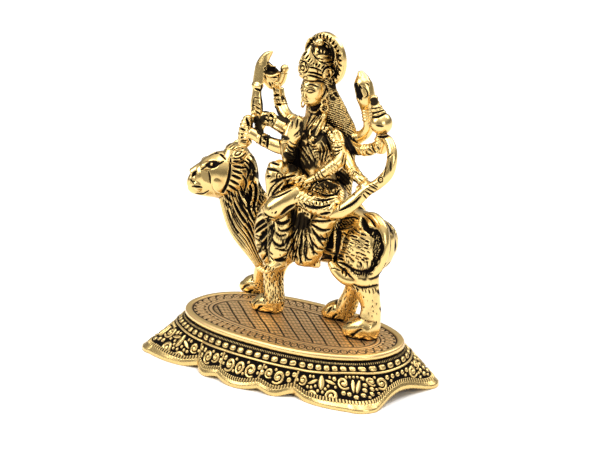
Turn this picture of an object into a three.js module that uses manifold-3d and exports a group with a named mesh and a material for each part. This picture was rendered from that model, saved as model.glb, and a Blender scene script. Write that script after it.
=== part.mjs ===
// An eight-armed goddess riding a walking lion, cast in one piece, on a hollow lobed plinth.
// Millimetres, +Z up. Origin: middle of the plinth's underside. The lion walks towards -X and
// the goddess looks towards -Y.

import * as THREE from "three";
import { mergeVertices } from "three/addons/utils/BufferGeometryUtils.js";
import Module from "manifold-3d";

const wasm = await Module();
wasm.setup();

// Plinth
const PLINTH_HEIGHT = 20;
const PLINTH_WALL = 2.5;
const PLATFORM_LENGTH = 113;
const PLATFORM_WIDTH = 58;
const PLATFORM_ROUNDNESS = 2.3; // exponent of the platform's superellipse
const PLATFORM_SHIFT_X = 2;
const PLATFORM_SHIFT_Y = 1.2;
const PLATFORM_RIM_HEIGHT = 2;
const PLATFORM_EDGE_BEVEL = 0.6;
const TIP_X = 67; // outermost reach of the four rounded corners of the skirt
const TIP_Y = 27.8;
const TIP_RADIUS = 5;
const END_HOLLOW = 2.5; // how far each end draws in between its two tips
const END_ARCH = 5; // how far each end lifts off the ground between its two tips
const OUTER_NOTCH_X = 28;
const OUTER_NOTCH_Y = 28.8;
const INNER_NOTCH_X = 11.5;
const INNER_NOTCH_Y = 34.2;
const LOBE_BULGE = 2.4;
const NOTCH_LIFT = 1.6;
const SKIRT_EDGE_HEIGHT = 1.6;
const BEAD_RELIEF = 0.8;
const SCROLL_RELIEF = 0.7;
const SCROLL_SAMPLES = 5; // edge samples from one scroll's crest to the next

// Figure: its places and thicknesses below are drawn for a height of 129.6 and scaled to this one.
const FIGURE_HEIGHT = 129.6;
const SIZE = FIGURE_HEIGHT / 129.6;

const PLATFORM_GOLD = 0xc8893a;
const POLISHED_GOLD = 0xe0b040;

// Solids and meshes

function solidOf(geometry) {
  const bare = geometry.clone();
  bare.deleteAttribute("normal");
  bare.deleteAttribute("uv");
  const merged = mergeVertices(bare, 1e-5);
  return new wasm.Manifold(
    new wasm.Mesh({
      numProp: 3,
      vertProperties: new Float32Array(merged.attributes.position.array),
      triVerts: new Uint32Array(merged.index.array),
    }),
  );
}

function geometryOf(solid) {
  const mesh = solid.getMesh();
  const geometry = new THREE.BufferGeometry();
  geometry.setAttribute("position", new THREE.BufferAttribute(mesh.vertProperties, 3));
  geometry.setIndex(new THREE.BufferAttribute(mesh.triVerts, 1));
  const flat = geometry.toNonIndexed();
  flat.computeVertexNormals();
  return flat;
}

// A closed skin over rings of points, each ring with the same number of points and all turning
// the same way about the direction of travel; a pole point closes each end.
function skin(rings, startPole, endPole) {
  const sides = rings[0].length;
  const points = [startPole, ...rings.flat(), endPole];
  const last = points.length - 1;
  const at = (ring, side) => 1 + ring * sides + (side % sides);
  const faces = [];
  for (let side = 0; side < sides; side++) {
    faces.push(0, at(0, side + 1), at(0, side));
    for (let ring = 0; ring + 1 < rings.length; ring++) {
      faces.push(at(ring, side), at(ring, side + 1), at(ring + 1, side + 1));
      faces.push(at(ring, side), at(ring + 1, side + 1), at(ring + 1, side));
    }
    faces.push(last, at(rings.length - 1, side), at(rings.length - 1, side + 1));
  }
  const geometry = new THREE.BufferGeometry().setFromPoints(points);
  geometry.setIndex(faces);
  return geometry;
}

// A body lofted along a smooth path. Each station is [x, y, z, half width, half height]; the
// half height is measured towards `up`. relief(t, turn) multiplies the section at share t of the
// path and share turn of the way round. The ends are closed by blunt noses.
function loft(stations, { sides = 8, rings = 8, up = [0, 0, 1], relief = null, nose = 0.5 } = {}) {
  const places = new THREE.CatmullRomCurve3(
    stations.map(([x, y, z]) => new THREE.Vector3(x, y, z).multiplyScalar(SIZE)),
  );
  const widths = new THREE.CatmullRomCurve3(
    stations.map(([, , , a, b]) => new THREE.Vector3(a, b ?? a, 0).multiplyScalar(SIZE)),
  );
  const upward = new THREE.Vector3(...up);
  const loops = [];
  const middles = [];
  for (let ring = 0; ring < rings; ring++) {
    const t = ring / (rings - 1);
    const middle = places.getPoint(t);
    const along = places.getTangent(t);
    const across = new THREE.Vector3().crossVectors(upward, along).normalize();
    const over = new THREE.Vector3().crossVectors(along, across);
    const size = widths.getPoint(t);
    middles.push({ middle, along, reach: Math.min(size.x, size.y) * nose });
    const loop = [];
    for (let side = 0; side < sides; side++) {
      const turn = side / sides;
      const swell = relief ? relief(t, turn) : 1;
      const angle = turn * 2 * Math.PI;
      loop.push(
        middle
          .clone()
          .addScaledVector(across, Math.cos(angle) * size.x * swell)
          .addScaledVector(over, Math.sin(angle) * size.y * swell),
      );
    }
    loops.push(loop);
  }
  const first = middles[0];
  const final = middles[rings - 1];
  return solidOf(
    skin(
      loops,
      first.middle.clone().addScaledVector(first.along, -first.reach),
      final.middle.clone().addScaledVector(final.along, final.reach),
    ),
  );
}

// An ellipsoid with its half sizes along x, y and z, turned about the vertical axis by `turn`.
function ball([x, y, z], [a, b, c], turn = 0, sides = 6, layers = 4) {
  const geometry = new THREE.SphereGeometry(1, sides, layers);
  geometry.rotateX(Math.PI / 2);
  geometry.scale(a * SIZE, b * SIZE, c * SIZE);
  geometry.rotateZ(turn);
  geometry.translate(x * SIZE, y * SIZE, z * SIZE);
  return solidOf(geometry);
}

const join = (solids) => solids.reduce((whole, piece) => whole.add(piece));

// Folds or locks that run along a loft: `count` ridges round the section.
const ridges = (count, depth) => (t, turn) => 1 + depth * Math.cos(turn * count * 2 * Math.PI);

// Folds that run round a loft: `count` swellings along the path.
const swags = (count, depth) => (t) => 1 + depth * Math.cos(t * count * 2 * Math.PI);

// Plinth

// Along half an end, a corner, its lobe, a side lobe and half the middle lobe.
const EDGE_SAMPLES = [4, 5, 6, 5, 4];
const RIM_TURNS = [0, 30, 43, 64, 81, 90]; // degrees round the platform where those stretches meet

// One stretch of the skirt's lower edge from one notch or tip to the next, bowed outwards.
function bowed([x0, y0], [x1, y1], bulge, share) {
  const dx = x1 - x0;
  const dy = y1 - y0;
  const length = Math.hypot(dx, dy);
  const out = bulge * Math.sin(Math.PI * share);
  return [x0 + dx * share + (dy / length) * out, y0 + dy * share - (dx / length) * out];
}

// A quarter of the skirt's edge, from the middle of the +X end to the middle of the +Y side:
// each sample has its place in plan, its lift and its turn round the platform.
function quarterEdge() {
  const corner = [TIP_X - TIP_RADIUS, TIP_Y - TIP_RADIUS];
  const round = (angle) => [
    corner[0] + TIP_RADIUS * Math.cos(angle),
    corner[1] + TIP_RADIUS * Math.sin(angle),
  ];
  const start = round(0);
  const end = round(Math.PI / 2);
  const outer = [OUTER_NOTCH_X, OUTER_NOTCH_Y];
  const inner = [INNER_NOTCH_X, INNER_NOTCH_Y];
  const stretches = [
    {
      place: (s) => bowed([start[0], -start[1]], start, -END_HOLLOW, 0.5 + s / 2),
      lift: (s) => END_ARCH * Math.cos((Math.PI * s) / 2) ** 1.5,
    },
    { place: (s) => round((Math.PI / 2) * s), lift: () => 0 },
    {
      place: (s) => bowed(end, outer, LOBE_BULGE, s),
      lift: (s) => NOTCH_LIFT * Math.max(0, 4 * s - 3),
    },
    {
      place: (s) => bowed(outer, inner, LOBE_BULGE, s),
      lift: (s) => NOTCH_LIFT * Math.cos(Math.PI * s) ** 2,
    },
    {
      place: (s) => bowed(inner, [-INNER_NOTCH_X, INNER_NOTCH_Y], LOBE_BULGE, s / 2),
      lift: (s) => NOTCH_LIFT * (1 - s) ** 2,
    },
  ];
  const samples = [];
  stretches.forEach(({ place, lift }, index) => {
    for (let step = 0; step < EDGE_SAMPLES[index]; step++) {
      const s = step / EDGE_SAMPLES[index];
      const [x, y] = place(s);
      const turn = RIM_TURNS[index] + (RIM_TURNS[index + 1] - RIM_TURNS[index]) * s;
      samples.push({ x, y, lift: lift(s), turn: THREE.MathUtils.degToRad(turn) });
    }
  });
  const [x, y] = stretches.at(-1).place(1);
  samples.push({ x, y, lift: 0, turn: Math.PI / 2 });
  return samples;
}

// The whole edge, counter-clockwise from +X, by mirroring the quarter.
function wholeEdge() {
  const quarter = quarterEdge();
  const half = [
    ...quarter,
    ...quarter.slice(0, -1).reverse().map((p) => ({ ...p, x: -p.x, turn: Math.PI - p.turn })),
  ];
  const back = half.slice(1, -1).reverse().map((p) => ({ ...p, y: -p.y, turn: -p.turn }));
  return [...half, ...back];
}

function platformPoint(turn, inset) {
  const power = 2 / PLATFORM_ROUNDNESS;
  const c = Math.cos(turn);
  const s = Math.sin(turn);
  return [
    PLATFORM_SHIFT_X + (PLATFORM_LENGTH / 2 - inset) * Math.sign(c) * Math.abs(c) ** power,
    PLATFORM_SHIFT_Y + (PLATFORM_WIDTH / 2 - inset) * Math.sign(s) * Math.abs(s) ** power,
  ];
}

// Profile of the skirt from under the platform's rim to its lower edge: share of the way out,
// share of the way down, and the relief standing proud of it at each sample round the edge.
const beads = (sample) => (sample % 2 ? BEAD_RELIEF : -BEAD_RELIEF);
const scrolls = (sample) => SCROLL_RELIEF * Math.sin((sample * 2 * Math.PI) / SCROLL_SAMPLES);
const plain = () => 0;
const SKIRT_PROFILE = [
  { out: 0.06, down: 0.1, relief: plain },
  { out: 0.18, down: 0.18, relief: beads },
  { out: 0.28, down: 0.31, relief: plain },
  { out: 0.38, down: 0.4, relief: plain },
  { out: 0.6, down: 0.62, relief: scrolls },
  { out: 0.9, down: 0.9, relief: plain },
];
const HOLLOW_INSET = 3.5; // from the platform's edge in to the hollow's roof

function plinth() {
  const edge = wholeEdge();
  const under = PLINTH_HEIGHT - PLATFORM_RIM_HEIGHT;
  const flatRing = (inset, z) =>
    edge.map(({ turn }) => new THREE.Vector3(...platformPoint(turn, inset), z));
  const skirtRing = (out, height, relief = plain) =>
    edge.map((sample, index) => {
      const [x, y] = platformPoint(sample.turn, 0);
      return new THREE.Vector3(
        x + (sample.x - x) * out,
        y + (sample.y - y) * out,
        height(sample) + relief(index),
      );
    });
  const innerFoot = edge.map(({ x, y, lift, turn }) => {
    const [px, py] = platformPoint(turn, PLINTH_WALL);
    const reach = new THREE.Vector3(x - px, y - py, 0);
    reach.setLength(reach.length() - PLINTH_WALL);
    return new THREE.Vector3(px, py, lift).add(reach);
  });
  const rings = [
    flatRing(PLATFORM_EDGE_BEVEL, PLINTH_HEIGHT),
    flatRing(0, PLINTH_HEIGHT - PLATFORM_EDGE_BEVEL),
    flatRing(0, under),
    ...SKIRT_PROFILE.map(({ out, down, relief }) =>
      skirtRing(out, ({ lift }) => under + (lift + SKIRT_EDGE_HEIGHT - under) * down, relief),
    ),
    skirtRing(1, ({ lift }) => lift + SKIRT_EDGE_HEIGHT),
    skirtRing(1, ({ lift }) => lift),
    innerFoot,
    flatRing(HOLLOW_INSET, PLINTH_HEIGHT - PLINTH_WALL),
  ];
  const top = new THREE.Vector3(PLATFORM_SHIFT_X, PLATFORM_SHIFT_Y, PLINTH_HEIGHT);
  const below = top.clone().setZ(PLINTH_HEIGHT - PLINTH_WALL);
  // The rings travel downwards, so each turns clockwise seen from above.
  return skin(rings.map((ring) => ring.reverse()), top, below);
}

// Lion

const LION_Y = 15;
const HEAD_AXIS = [-0.755, -0.656]; // the head looks over the near shoulder
const HEAD_TURN = 0.72; // radians, the head's axis against -X
const NECK = [-38, 12];

const headPlace = (forward, z) => [
  NECK[0] + HEAD_AXIS[0] * forward,
  NECK[1] + HEAD_AXIS[1] * forward,
  z,
];

// A place beside the head's own axis, to its near or far side.
const headSide = (forward, side, z) => [
  NECK[0] + HEAD_AXIS[0] * forward - HEAD_AXIS[1] * side,
  NECK[1] + HEAD_AXIS[1] * forward + HEAD_AXIS[0] * side,
  z,
];

function lionBody() {
  return loft(
    [
      [-35, LION_Y, 36, 8, 10],
      [-26, LION_Y, 36, 10.6, 13],
      [-12, LION_Y, 38.6, 11.2, 13.2],
      [8, LION_Y, 40, 10.8, 13.4],
      [24, LION_Y + 0.5, 40.6, 11.2, 13.2],
      [34, LION_Y + 1, 39.8, 11, 12.6],
      [41, LION_Y + 1, 37.6, 7.5, 9],
    ],
    { sides: 12, rings: 7 },
  );
}

function lionMane() {
  return loft(
    [
      [-37.4, 12.4, 72.6, 3.5, 4.5],
      [-38.6, 12, 67.6, 6.4, 7.6],
      [-39.4, 12, 58, 8.6, 9.6],
      [-37.6, 12.5, 48, 10, 10.5],
      [-33.6, 14, 38, 10.6, 12],
      [-27.6, 14.5, 29, 9, 11],
      [-22.6, 13.6, 21.5, 6.4, 8],
    ],
    { sides: 20, rings: 7, up: [0, 1, 0], relief: ridges(10, 0.06) },
  );
}

function lionHead() {
  const profile = [
    [2, 58.6, 9, 10.4],
    [8, 58, 9, 11.3],
    [13, 57, 7.4, 9.8],
    [17, 56.2, 5.4, 8],
    [20.3, 55.4, 4.4, 6.4],
    [22, 56.4, 3.2, 3.6],
  ];
  const parts = [
    loft(
      profile.map(([forward, z, a, b]) => [...headPlace(forward, z), a, b]),
      { sides: 10, rings: 7 },
    ),
    ball(headPlace(22, 59), [2, 2.6, 1.6], HEAD_TURN),
  ];
  for (const side of [-1, 1]) {
    parts.push(ball(headSide(19, side * 3, 54.4), [3, 2.2, 2.6], HEAD_TURN));
    parts.push(ball(headSide(14, side * 5, 64.4), [3.6, 1.8, 1.5], HEAD_TURN));
    parts.push(ball(headSide(3.5, side * 7.6, 67.6), [2.2, 3.2, 3.6], HEAD_TURN));
  }
  return join(parts);
}

// Toes: swellings over the front half of a paw.
const toes = (t, turn) => (t > 0.5 ? ridges(6, 0.07)(t, turn) : 1);

function leg(stations, [pawX, pawY]) {
  const paw = loft(
    [
      [pawX + 5.4, pawY, 3.2, 3.6, 4.2],
      [pawX + 1.5, pawY, 3.4, 5, 5],
      [pawX - 3.5, pawY, 2.6, 5.6, 4.4],
      [pawX - 6.4, pawY, 1.6, 4, 2.8],
    ],
    { sides: 12, rings: 4, relief: toes },
  );
  return join([loft(stations, { sides: 7, rings: 5, up: [0, 1, 0] }), paw]);
}

function lionLegs() {
  return join([
    leg(
      [
        [-12.5, 10.5, 32, 12, 7],
        [-15, 8.8, 23, 6.4, 5.4],
        [-16, 8.6, 14, 4.3, 4.3],
        [-15.2, 8.3, 5, 4.6, 4.6],
      ],
      [-18.5, 8.1],
    ),
    leg(
      [
        [-29, 19, 34, 8, 6],
        [-32, 22, 24, 5.4, 5.2],
        [-35, 23.6, 13, 4.3, 4.3],
        [-37, 24.6, 5, 4.5, 4.5],
      ],
      [-40.3, 24.6],
    ),
    leg(
      [
        [32, 10.5, 38, 10, 7.5],
        [35.5, 9.6, 25, 7, 6],
        [39.2, 10, 14, 4.1, 4.1],
        [38.6, 10.2, 5, 4.6, 4.6],
      ],
      [35.9, 10.2],
    ),
    leg(
      [
        [30, 20, 36, 9, 7],
        [24, 20.6, 24, 6, 5.6],
        [19.3, 21, 13, 4.2, 4.2],
        [15.6, 20.8, 5, 4.6, 4.6],
      ],
      [11.8, 20.8],
    ),
  ]);
}

function lionTail() {
  return loft(
    [
      [30, 16, 51, 2.4, 2.2],
      [36, 16, 51.6, 2.4, 2.4],
      [41.6, 14.6, 48, 2.5, 2.5],
      [44, 13, 41, 2.5, 2.5],
      [42.6, 11.5, 33.6, 2.7, 2.7],
      [37.2, 8, 25.8, 2.9, 2.9],
      [30, 4.8, 24.6, 2.9, 2.9],
      [23.5, 3.4, 28.8, 2.6, 2.6],
    ],
    { sides: 6, rings: 10, up: [0, 1, 0.1] },
  );
}

// The saddle cloth stands proud of the back and flanks between the shoulders and the haunches.
function saddleCloth() {
  return loft(
    [
      [-14, LION_Y, 40.6, 12, 14],
      [4, LION_Y, 42, 12, 13.6],
      [23.5, LION_Y + 0.5, 42.4, 12.3, 14],
    ],
    { sides: 12, rings: 3, nose: 0.02 },
  );
}

// Goddess

function torso() {
  return loft(
    [
      [10.5, 12, 54, 11, 8],
      [10, 11.6, 62, 8.8, 7],
      [8, 10.6, 71, 8.8, 7],
      [7.2, 10.6, 80, 9.4, 6.8],
      [6, 11.4, 88, 10.4, 5.4],
      [5.7, 12, 92.5, 5.6, 4.2],
      [5.6, 11.6, 98.5, 2.9, 2.9],
    ],
    { sides: 10, rings: 7, up: [0, 1, 0] },
  );
}

const HEAD = [6.4, 10, 105.6];

function head() {
  const [x, y, z] = HEAD;
  return join([
    ball([x, y, z], [5.6, 6.4, 7], 0, 8, 6),
    ball([x, y - 1.2, z - 4], [4, 4.6, 4.4], 0, 8, 5),
    ball([x, y - 6.6, z - 0.6], [0.8, 1, 1.7], 0, 6, 4),
    ball([x - 5.2, y + 0.4, z - 4], [1.4, 1.6, 2.4]),
    ball([x + 5.2, y + 0.4, z - 4], [1.4, 1.6, 2.4]),
  ]);
}

// The hair falls over the shoulders and down the back to the seat.
function hair() {
  return loft(
    [
      [6.6, 14, 111, 6, 5],
      [6.4, 15.2, 103, 8, 4.6],
      [6.4, 16.4, 94, 13, 4.4],
      [7, 17, 86, 17, 4.6],
      [9, 17, 74, 14, 5],
      [10, 16.4, 60, 11.5, 5.4],
      [10.4, 16, 52, 10, 5],
    ],
    { sides: 16, rings: 7, up: [0, 1, 0], relief: ridges(8, 0.05) },
  );
}

// A disc that stands behind the crown, its edge cut into rays.
function crest() {
  const reach = [9.6, 12];
  const depth = 3;
  const back = [8.2, 17.2, 117.6];
  const rays = 14;
  const valley = 0.96; // of the reach, between two rays
  const corners = Array.from({ length: 2 * rays }, (_, i) => {
    const angle = (i * Math.PI) / rays;
    const share = i % 2 ? valley : 1;
    return new THREE.Vector2(share * reach[0] * Math.cos(angle), share * reach[1] * Math.sin(angle));
  });
  const disc = new THREE.ExtrudeGeometry(new THREE.Shape(corners), { depth, bevelEnabled: false });
  disc.rotateX(Math.PI / 2);
  disc.translate(...back);
  disc.scale(SIZE, SIZE, SIZE);
  return solidOf(disc);
}

function crown() {
  const [x, y] = HEAD;
  return join([
    loft(
      [
        [x, y, 110.2, 6.6, 7],
        [x, y - 0.2, 112.6, 6.9, 7.3],
        [x + 0.4, y, 115.5, 6.6, 7],
      ],
      { sides: 12, rings: 3, up: [0, 1, 0], nose: 0.1 },
    ),
    loft(
      [
        [x - 0.4, y - 5.6, 111, 4, 1.8],
        [x - 0.4, y - 6.2, 115, 3.6, 1.6],
        [x - 0.4, y - 6.8, 119.6, 1, 1],
      ],
      { sides: 8, rings: 4, up: [0, 1, 0] },
    ),
    ball([x + 1.2, y + 1, 116.4], [5.8, 6.2, 8.2], 0, 8, 5),
    ball([x + 2, y - 2.4, 123.6], [2.2, 2.2, 2.2]),
    ball([x + 6.6, y - 0.4, 114], [1.6, 2.2, 2.4]),
    ball([x - 6.6, y - 0.4, 114], [1.6, 2.2, 2.4]),
  ]);
}

// An arm from the shoulder to the hand, swelling into a bracelet before the hand.
const ARM_RINGS = 8;
const RINGS_TO_BRACELET = 5;
const BRACELET_RATIO = 1.3;
const bracelet = (t) => (Math.round(t * (ARM_RINGS - 1)) === RINGS_TO_BRACELET ? BRACELET_RATIO : 1);
const arm = (stations) =>
  loft(stations, { sides: 6, rings: ARM_RINGS, up: [0.2, 0.9, 0.3], relief: bracelet });

// A hand from the wrist to the fingertips.
const hand = (stations, up = [0, 0, 1]) => loft(stations, { sides: 8, rings: 5, up });

function rightArms() {
  return join([
    arm([
      [-5.4, 11, 87.5, 3.6],
      [-6, 6.5, 80, 3],
      [-4, 3.6, 74.4, 2.8],
      [-1, 2.4, 80, 2.3],
      [1, 2, 85, 2],
    ]),
    hand(
      [
        [1.2, 2, 85.5, 2.6, 1.4],
        [2.4, 1.8, 90, 3.1, 1.6],
        [4, 1.6, 95, 2.7, 1.2],
        [4.8, 1.6, 98.6, 1.4, 0.8],
      ],
      [0, 1, 0],
    ),
    arm([
      [-4, 14, 87, 3.2],
      [-11, 14.6, 87.4, 2.7],
      [-17, 16.2, 90, 2.4],
      [-20, 17.2, 94, 2.2],
      [-21, 17.6, 99, 2.4],
    ]),
    arm([
      [-4, 10.6, 84, 3.2],
      [-8.4, 9.6, 85.6, 3],
      [-14, 8.6, 87.6, 2.5],
      [-19, 8, 88.4, 2.2],
      [-24, 8, 87.4, 2.4],
    ]),
    arm([
      [-4, 9, 78, 3.2],
      [-9, 7, 77, 3],
      [-13.6, 5.4, 77.6, 2.5],
      [-18, 3.6, 79.6, 2.1],
      [-23, 1.8, 82.4, 2.4],
    ]),
  ]);
}

function leftArms() {
  return join([
    arm([
      [17, 11, 87, 3.8],
      [22, 8.6, 82, 3.2],
      [25, 5.4, 78, 3],
      [23.4, 1, 75, 2.5],
      [20, -2, 72, 2.2],
    ]),
    hand([
      [20, -2, 72, 2.2, 1.6],
      [17, -3.6, 70.2, 3, 1.6],
      [13.4, -5, 68.2, 2.7, 1.2],
      [10.6, -6, 66.6, 1.6, 0.8],
    ]),
    arm([
      [17, 11.4, 84, 3.4],
      [23, 9.6, 80.6, 3],
      [28, 7.8, 77, 2.7],
      [33.4, 6, 73, 2.3],
      [38.6, 5, 70.8, 2.5],
    ]),
    arm([
      [16, 14, 85, 3.4],
      [22, 13.6, 82.6, 3],
      [28, 13, 81.8, 2.6],
      [35.6, 12.2, 83.2, 2.3],
      [41, 12, 86, 2.6],
    ]),
    arm([
      [17, 16.4, 85, 3.2],
      [25, 18, 85.6, 2.7],
      [30, 18.2, 90.5, 2.4],
      [29.4, 18, 97, 2.1],
      [28.6, 18, 103, 2.4],
    ]),
  ]);
}

// What the hands hold

function conch() {
  return loft(
    [
      [28.8, 17.6, 99, 2.2, 2],
      [29.6, 17.6, 104, 4.4, 3.8],
      [28.2, 17.6, 109.6, 4.4, 3.8],
      [26.2, 17.8, 114.6, 1.6, 1.6],
    ],
    { sides: 8, rings: 5, up: [0, 1, 0] },
  );
}

function mace() {
  return join([
    loft(
      [
        [42, 12, 84, 2.6],
        [42.6, 12, 88, 3],
        [42.6, 12, 92, 2.2],
      ],
      { sides: 6, rings: 3, up: [0, 1, 0] },
    ),
    ball([42.4, 12, 96.2], [4.9, 4.9, 4.9], 0, 8, 6),
    loft(
      [
        [41.6, 12, 99, 3],
        [40, 12, 101.6, 2.5],
        [39, 12, 104, 1.7],
        [38.6, 12, 105.8, 1.4],
      ],
      { sides: 8, rings: 7, up: [0, 1, 0], relief: swags(3, 0.12) },
    ),
  ]);
}

function bow() {
  return join([
    loft(
      [
        [43, 12, 91, 1.8, 1.6],
        [47.8, 10.8, 89.2, 2.2, 2],
        [51.4, 8.6, 84.4, 2.6, 2.2],
        [51.4, 6.4, 77.4, 2.6, 2.2],
        [47, 4.4, 71.8, 2.4, 2.2],
        [42.6, 2.6, 68.6, 2.6, 2.6],
        [37.6, -1.2, 62.8, 3.4, 2.4],
        [33.4, -3.6, 58.8, 3.2, 2],
        [28.8, -5.2, 56, 1, 1],
      ],
      { sides: 6, rings: 11, up: [0.3, 0.9, 0.1] },
    ),
    ball([41, 3.8, 69.6], [3.6, 3.2, 2.8], -0.5),
  ]);
}

// A curved sword held upright, its blade sweeping back over the hand beside it.
function sword() {
  return loft(
    [
      [-25.2, 7.8, 86, 2.2, 2],
      [-25.8, 7.8, 93, 2.6, 2.2],
      [-26, 8.4, 99, 1.7, 1.4],
      [-26.4, 9.6, 104, 2.6, 1.2],
      [-25.4, 11, 110, 2.8, 1.2],
      [-23.4, 12.4, 114.4, 2, 1.1],
      [-20.6, 13, 117, 0.7, 0.7],
    ],
    { sides: 6, rings: 9, up: [0, 1, 0] },
  );
}

// A shallow bowl on the raised hand, with a knob at its outer lip.
function bowl() {
  return join([
    loft(
      [
        [-27, 15, 103.4, 1.6, 1.6],
        [-23.6, 17, 101, 3, 2.2],
        [-20, 18, 103, 2.4, 2],
        [-18.4, 18.4, 107, 1.8, 1.8],
      ],
      { sides: 6, rings: 6 },
    ),
    ball([-18, 18.4, 108.8], [1.9, 1.9, 1.9]),
  ]);
}

// A bound bundle held down against the top of the lion's mane.
function bundle() {
  return loft(
    [
      [-25, 2, 88, 2, 2],
      [-25.8, 1.8, 84.4, 2.8, 2.6],
      [-27.2, 2.2, 79, 3.4, 3],
      [-30, 4, 72, 3, 3],
    ],
    { sides: 8, rings: 7, up: [0, 1, 0], relief: swags(4, 0.08) },
  );
}

// Legs and skirts

const thigh = (stations) => loft(stations, { sides: 8, rings: 6, relief: swags(3, 0.05) });
const foot = (stations) => loft(stations, { sides: 8, rings: 5 });

function rightLeg() {
  return join([
    thigh([
      [6, 9, 60, 8, 7],
      [1, 1, 66, 6.4, 6],
      [-2.4, -5.4, 71, 4.6, 4.6],
    ]),
    loft(
      [
        [-2.6, -5.6, 73.4, 3, 3],
        [-1.4, -6.4, 69, 4.8, 4.6],
        [0.4, -6.6, 58, 5.2, 5],
        [1.2, -6.4, 46, 5.6, 5],
        [1, -6.8, 37, 5.4, 5],
        [0.6, -8, 31, 3, 3],
      ],
      { sides: 8, rings: 11, up: [0, 1, 0], relief: swags(5, 0.06) },
    ),
    foot([
      [2.2, -6, 30, 2.6, 2.6],
      [0.6, -9.6, 29.2, 3.4, 2.6],
      [-1, -13, 28.2, 3.8, 2],
      [-1.8, -15.6, 27.6, 2.4, 1.3],
    ]),
  ]);
}

// The left leg lies folded across the lap, its foot in front of the right knee.
function leftLeg() {
  return join([
    thigh([
      [15, 9, 60, 8.6, 7],
      [23, 3, 60, 6.6, 6],
      [28.5, -2, 58.6, 5, 5],
    ]),
    thigh([
      [28, -1.6, 58, 4.8, 4.8],
      [20, -4.6, 59.6, 5, 4.6],
      [12, -6.6, 62, 4.2, 4],
    ]),
    foot([
      [12.6, -6.4, 64.4, 3.2, 3],
      [8, -9.4, 60.8, 5, 4],
      [3, -12, 56.6, 5.8, 3.8],
      [0.2, -13.4, 53.6, 4.2, 2.2],
    ]),
  ]);
}

// The skirt hangs over the lion's near flank in fanned folds to a scalloped hem.
function skirtFan() {
  return join([
    loft(
      [
        [9, 1.5, 56, 8, 5],
        [6.4, 0.6, 46, 13, 4.4],
        [4.6, 0.6, 37, 17, 4.2],
        [3.8, 1.4, 30, 18, 3.4],
      ],
      { sides: 20, rings: 5, up: [0, 1, 0], relief: ridges(10, 0.07), nose: 0.2 },
    ),
    loft(
      [
        [24, -1, 54, 5, 4.2],
        [21.4, -0.4, 47, 5.6, 4],
        [19.6, 0.6, 38, 5.6, 3.6],
        [18, 1.6, 31.5, 3.4, 3],
      ],
      { sides: 7, rings: 9, up: [0, 1, 0], relief: swags(4, 0.08) },
    ),
  ]);
}

// The paws are cut flat where they stand on the platform.
const GROUND_BLOCK = 3 * FIGURE_HEIGHT;

function figure() {
  const whole = join([
    lionBody(),
    lionMane(),
    lionHead(),
    lionLegs(),
    lionTail(),
    saddleCloth(),
    torso(),
    head(),
    hair(),
    crest(),
    crown(),
    rightArms(),
    leftArms(),
    conch(),
    mace(),
    bow(),
    sword(),
    bowl(),
    bundle(),
    rightLeg(),
    leftLeg(),
    skirtFan(),
  ]);
  const ground = new THREE.BoxGeometry(GROUND_BLOCK, GROUND_BLOCK, GROUND_BLOCK);
  ground.translate(0, 0, -GROUND_BLOCK / 2);
  return geometryOf(whole.subtract(solidOf(ground)));
}

function piece(name, geometry, color, roughness) {
  const material = new THREE.MeshStandardMaterial({ color, roughness, metalness: 1 });
  const mesh = new THREE.Mesh(geometry, material);
  mesh.name = name;
  return mesh;
}

const group = new THREE.Group();
group.add(piece("plinth", plinth(), PLATFORM_GOLD, 0.4));
const rider = piece("durga_on_lion", figure(), POLISHED_GOLD, 0.25);
rider.position.z = PLINTH_HEIGHT;
group.add(rider);

export default group;
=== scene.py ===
"""An eight-armed goddess riding a walking lion on a lobed plinth, cast in antique gold.

The figure is built in millimetres above the plinth's platform from lofts: sections carried along
smooth paths, with locks, folds and bands as relief over the section. All lofts of one casting are
fused into one skin. The plinth is two grids, a platform and a skirt, with their relief worked out
as heights over the surface. Recesses hold black patina, ridges are polished, and painted shade
darkens the deep gaps between parts and wherever shade strokes are drawn.
"""

import math

import bpy
import numpy as np
import openvdb
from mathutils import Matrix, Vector


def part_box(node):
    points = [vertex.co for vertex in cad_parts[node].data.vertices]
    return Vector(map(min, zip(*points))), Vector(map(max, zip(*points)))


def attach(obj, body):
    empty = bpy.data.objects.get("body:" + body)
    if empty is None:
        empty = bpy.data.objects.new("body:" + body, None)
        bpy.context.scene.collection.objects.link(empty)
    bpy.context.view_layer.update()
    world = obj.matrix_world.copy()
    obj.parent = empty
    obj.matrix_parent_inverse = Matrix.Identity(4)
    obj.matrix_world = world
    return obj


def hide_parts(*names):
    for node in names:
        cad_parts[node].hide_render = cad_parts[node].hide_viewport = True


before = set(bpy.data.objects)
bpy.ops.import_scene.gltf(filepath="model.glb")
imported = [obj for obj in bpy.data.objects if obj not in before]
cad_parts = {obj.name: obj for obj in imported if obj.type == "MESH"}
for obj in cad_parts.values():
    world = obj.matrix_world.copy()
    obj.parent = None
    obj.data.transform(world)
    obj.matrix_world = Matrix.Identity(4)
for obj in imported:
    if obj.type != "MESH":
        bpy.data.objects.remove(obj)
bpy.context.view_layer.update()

bl_info = {
    "name": "Durga figurine", "version": (1, 0, 0), "blender": (4, 5, 0), "location": "3D View > Sidebar > Figurine",
    "description": "Builds a goddess riding a lion on a lobed plinth in antique gold", "category": "Add Mesh",
}

MM = 0.001
PLATFORM_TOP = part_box("plinth")[1].z / MM
DRAWN_HEIGHT = 129.6  # from the platform to the crown's top in the figure's own millimetres
SIZE = (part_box("durga_on_lion")[1].z / MM - PLATFORM_TOP) / DRAWN_HEIGHT
ROUND = 2 * math.pi


# Sizes and colours that a user would change


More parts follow.
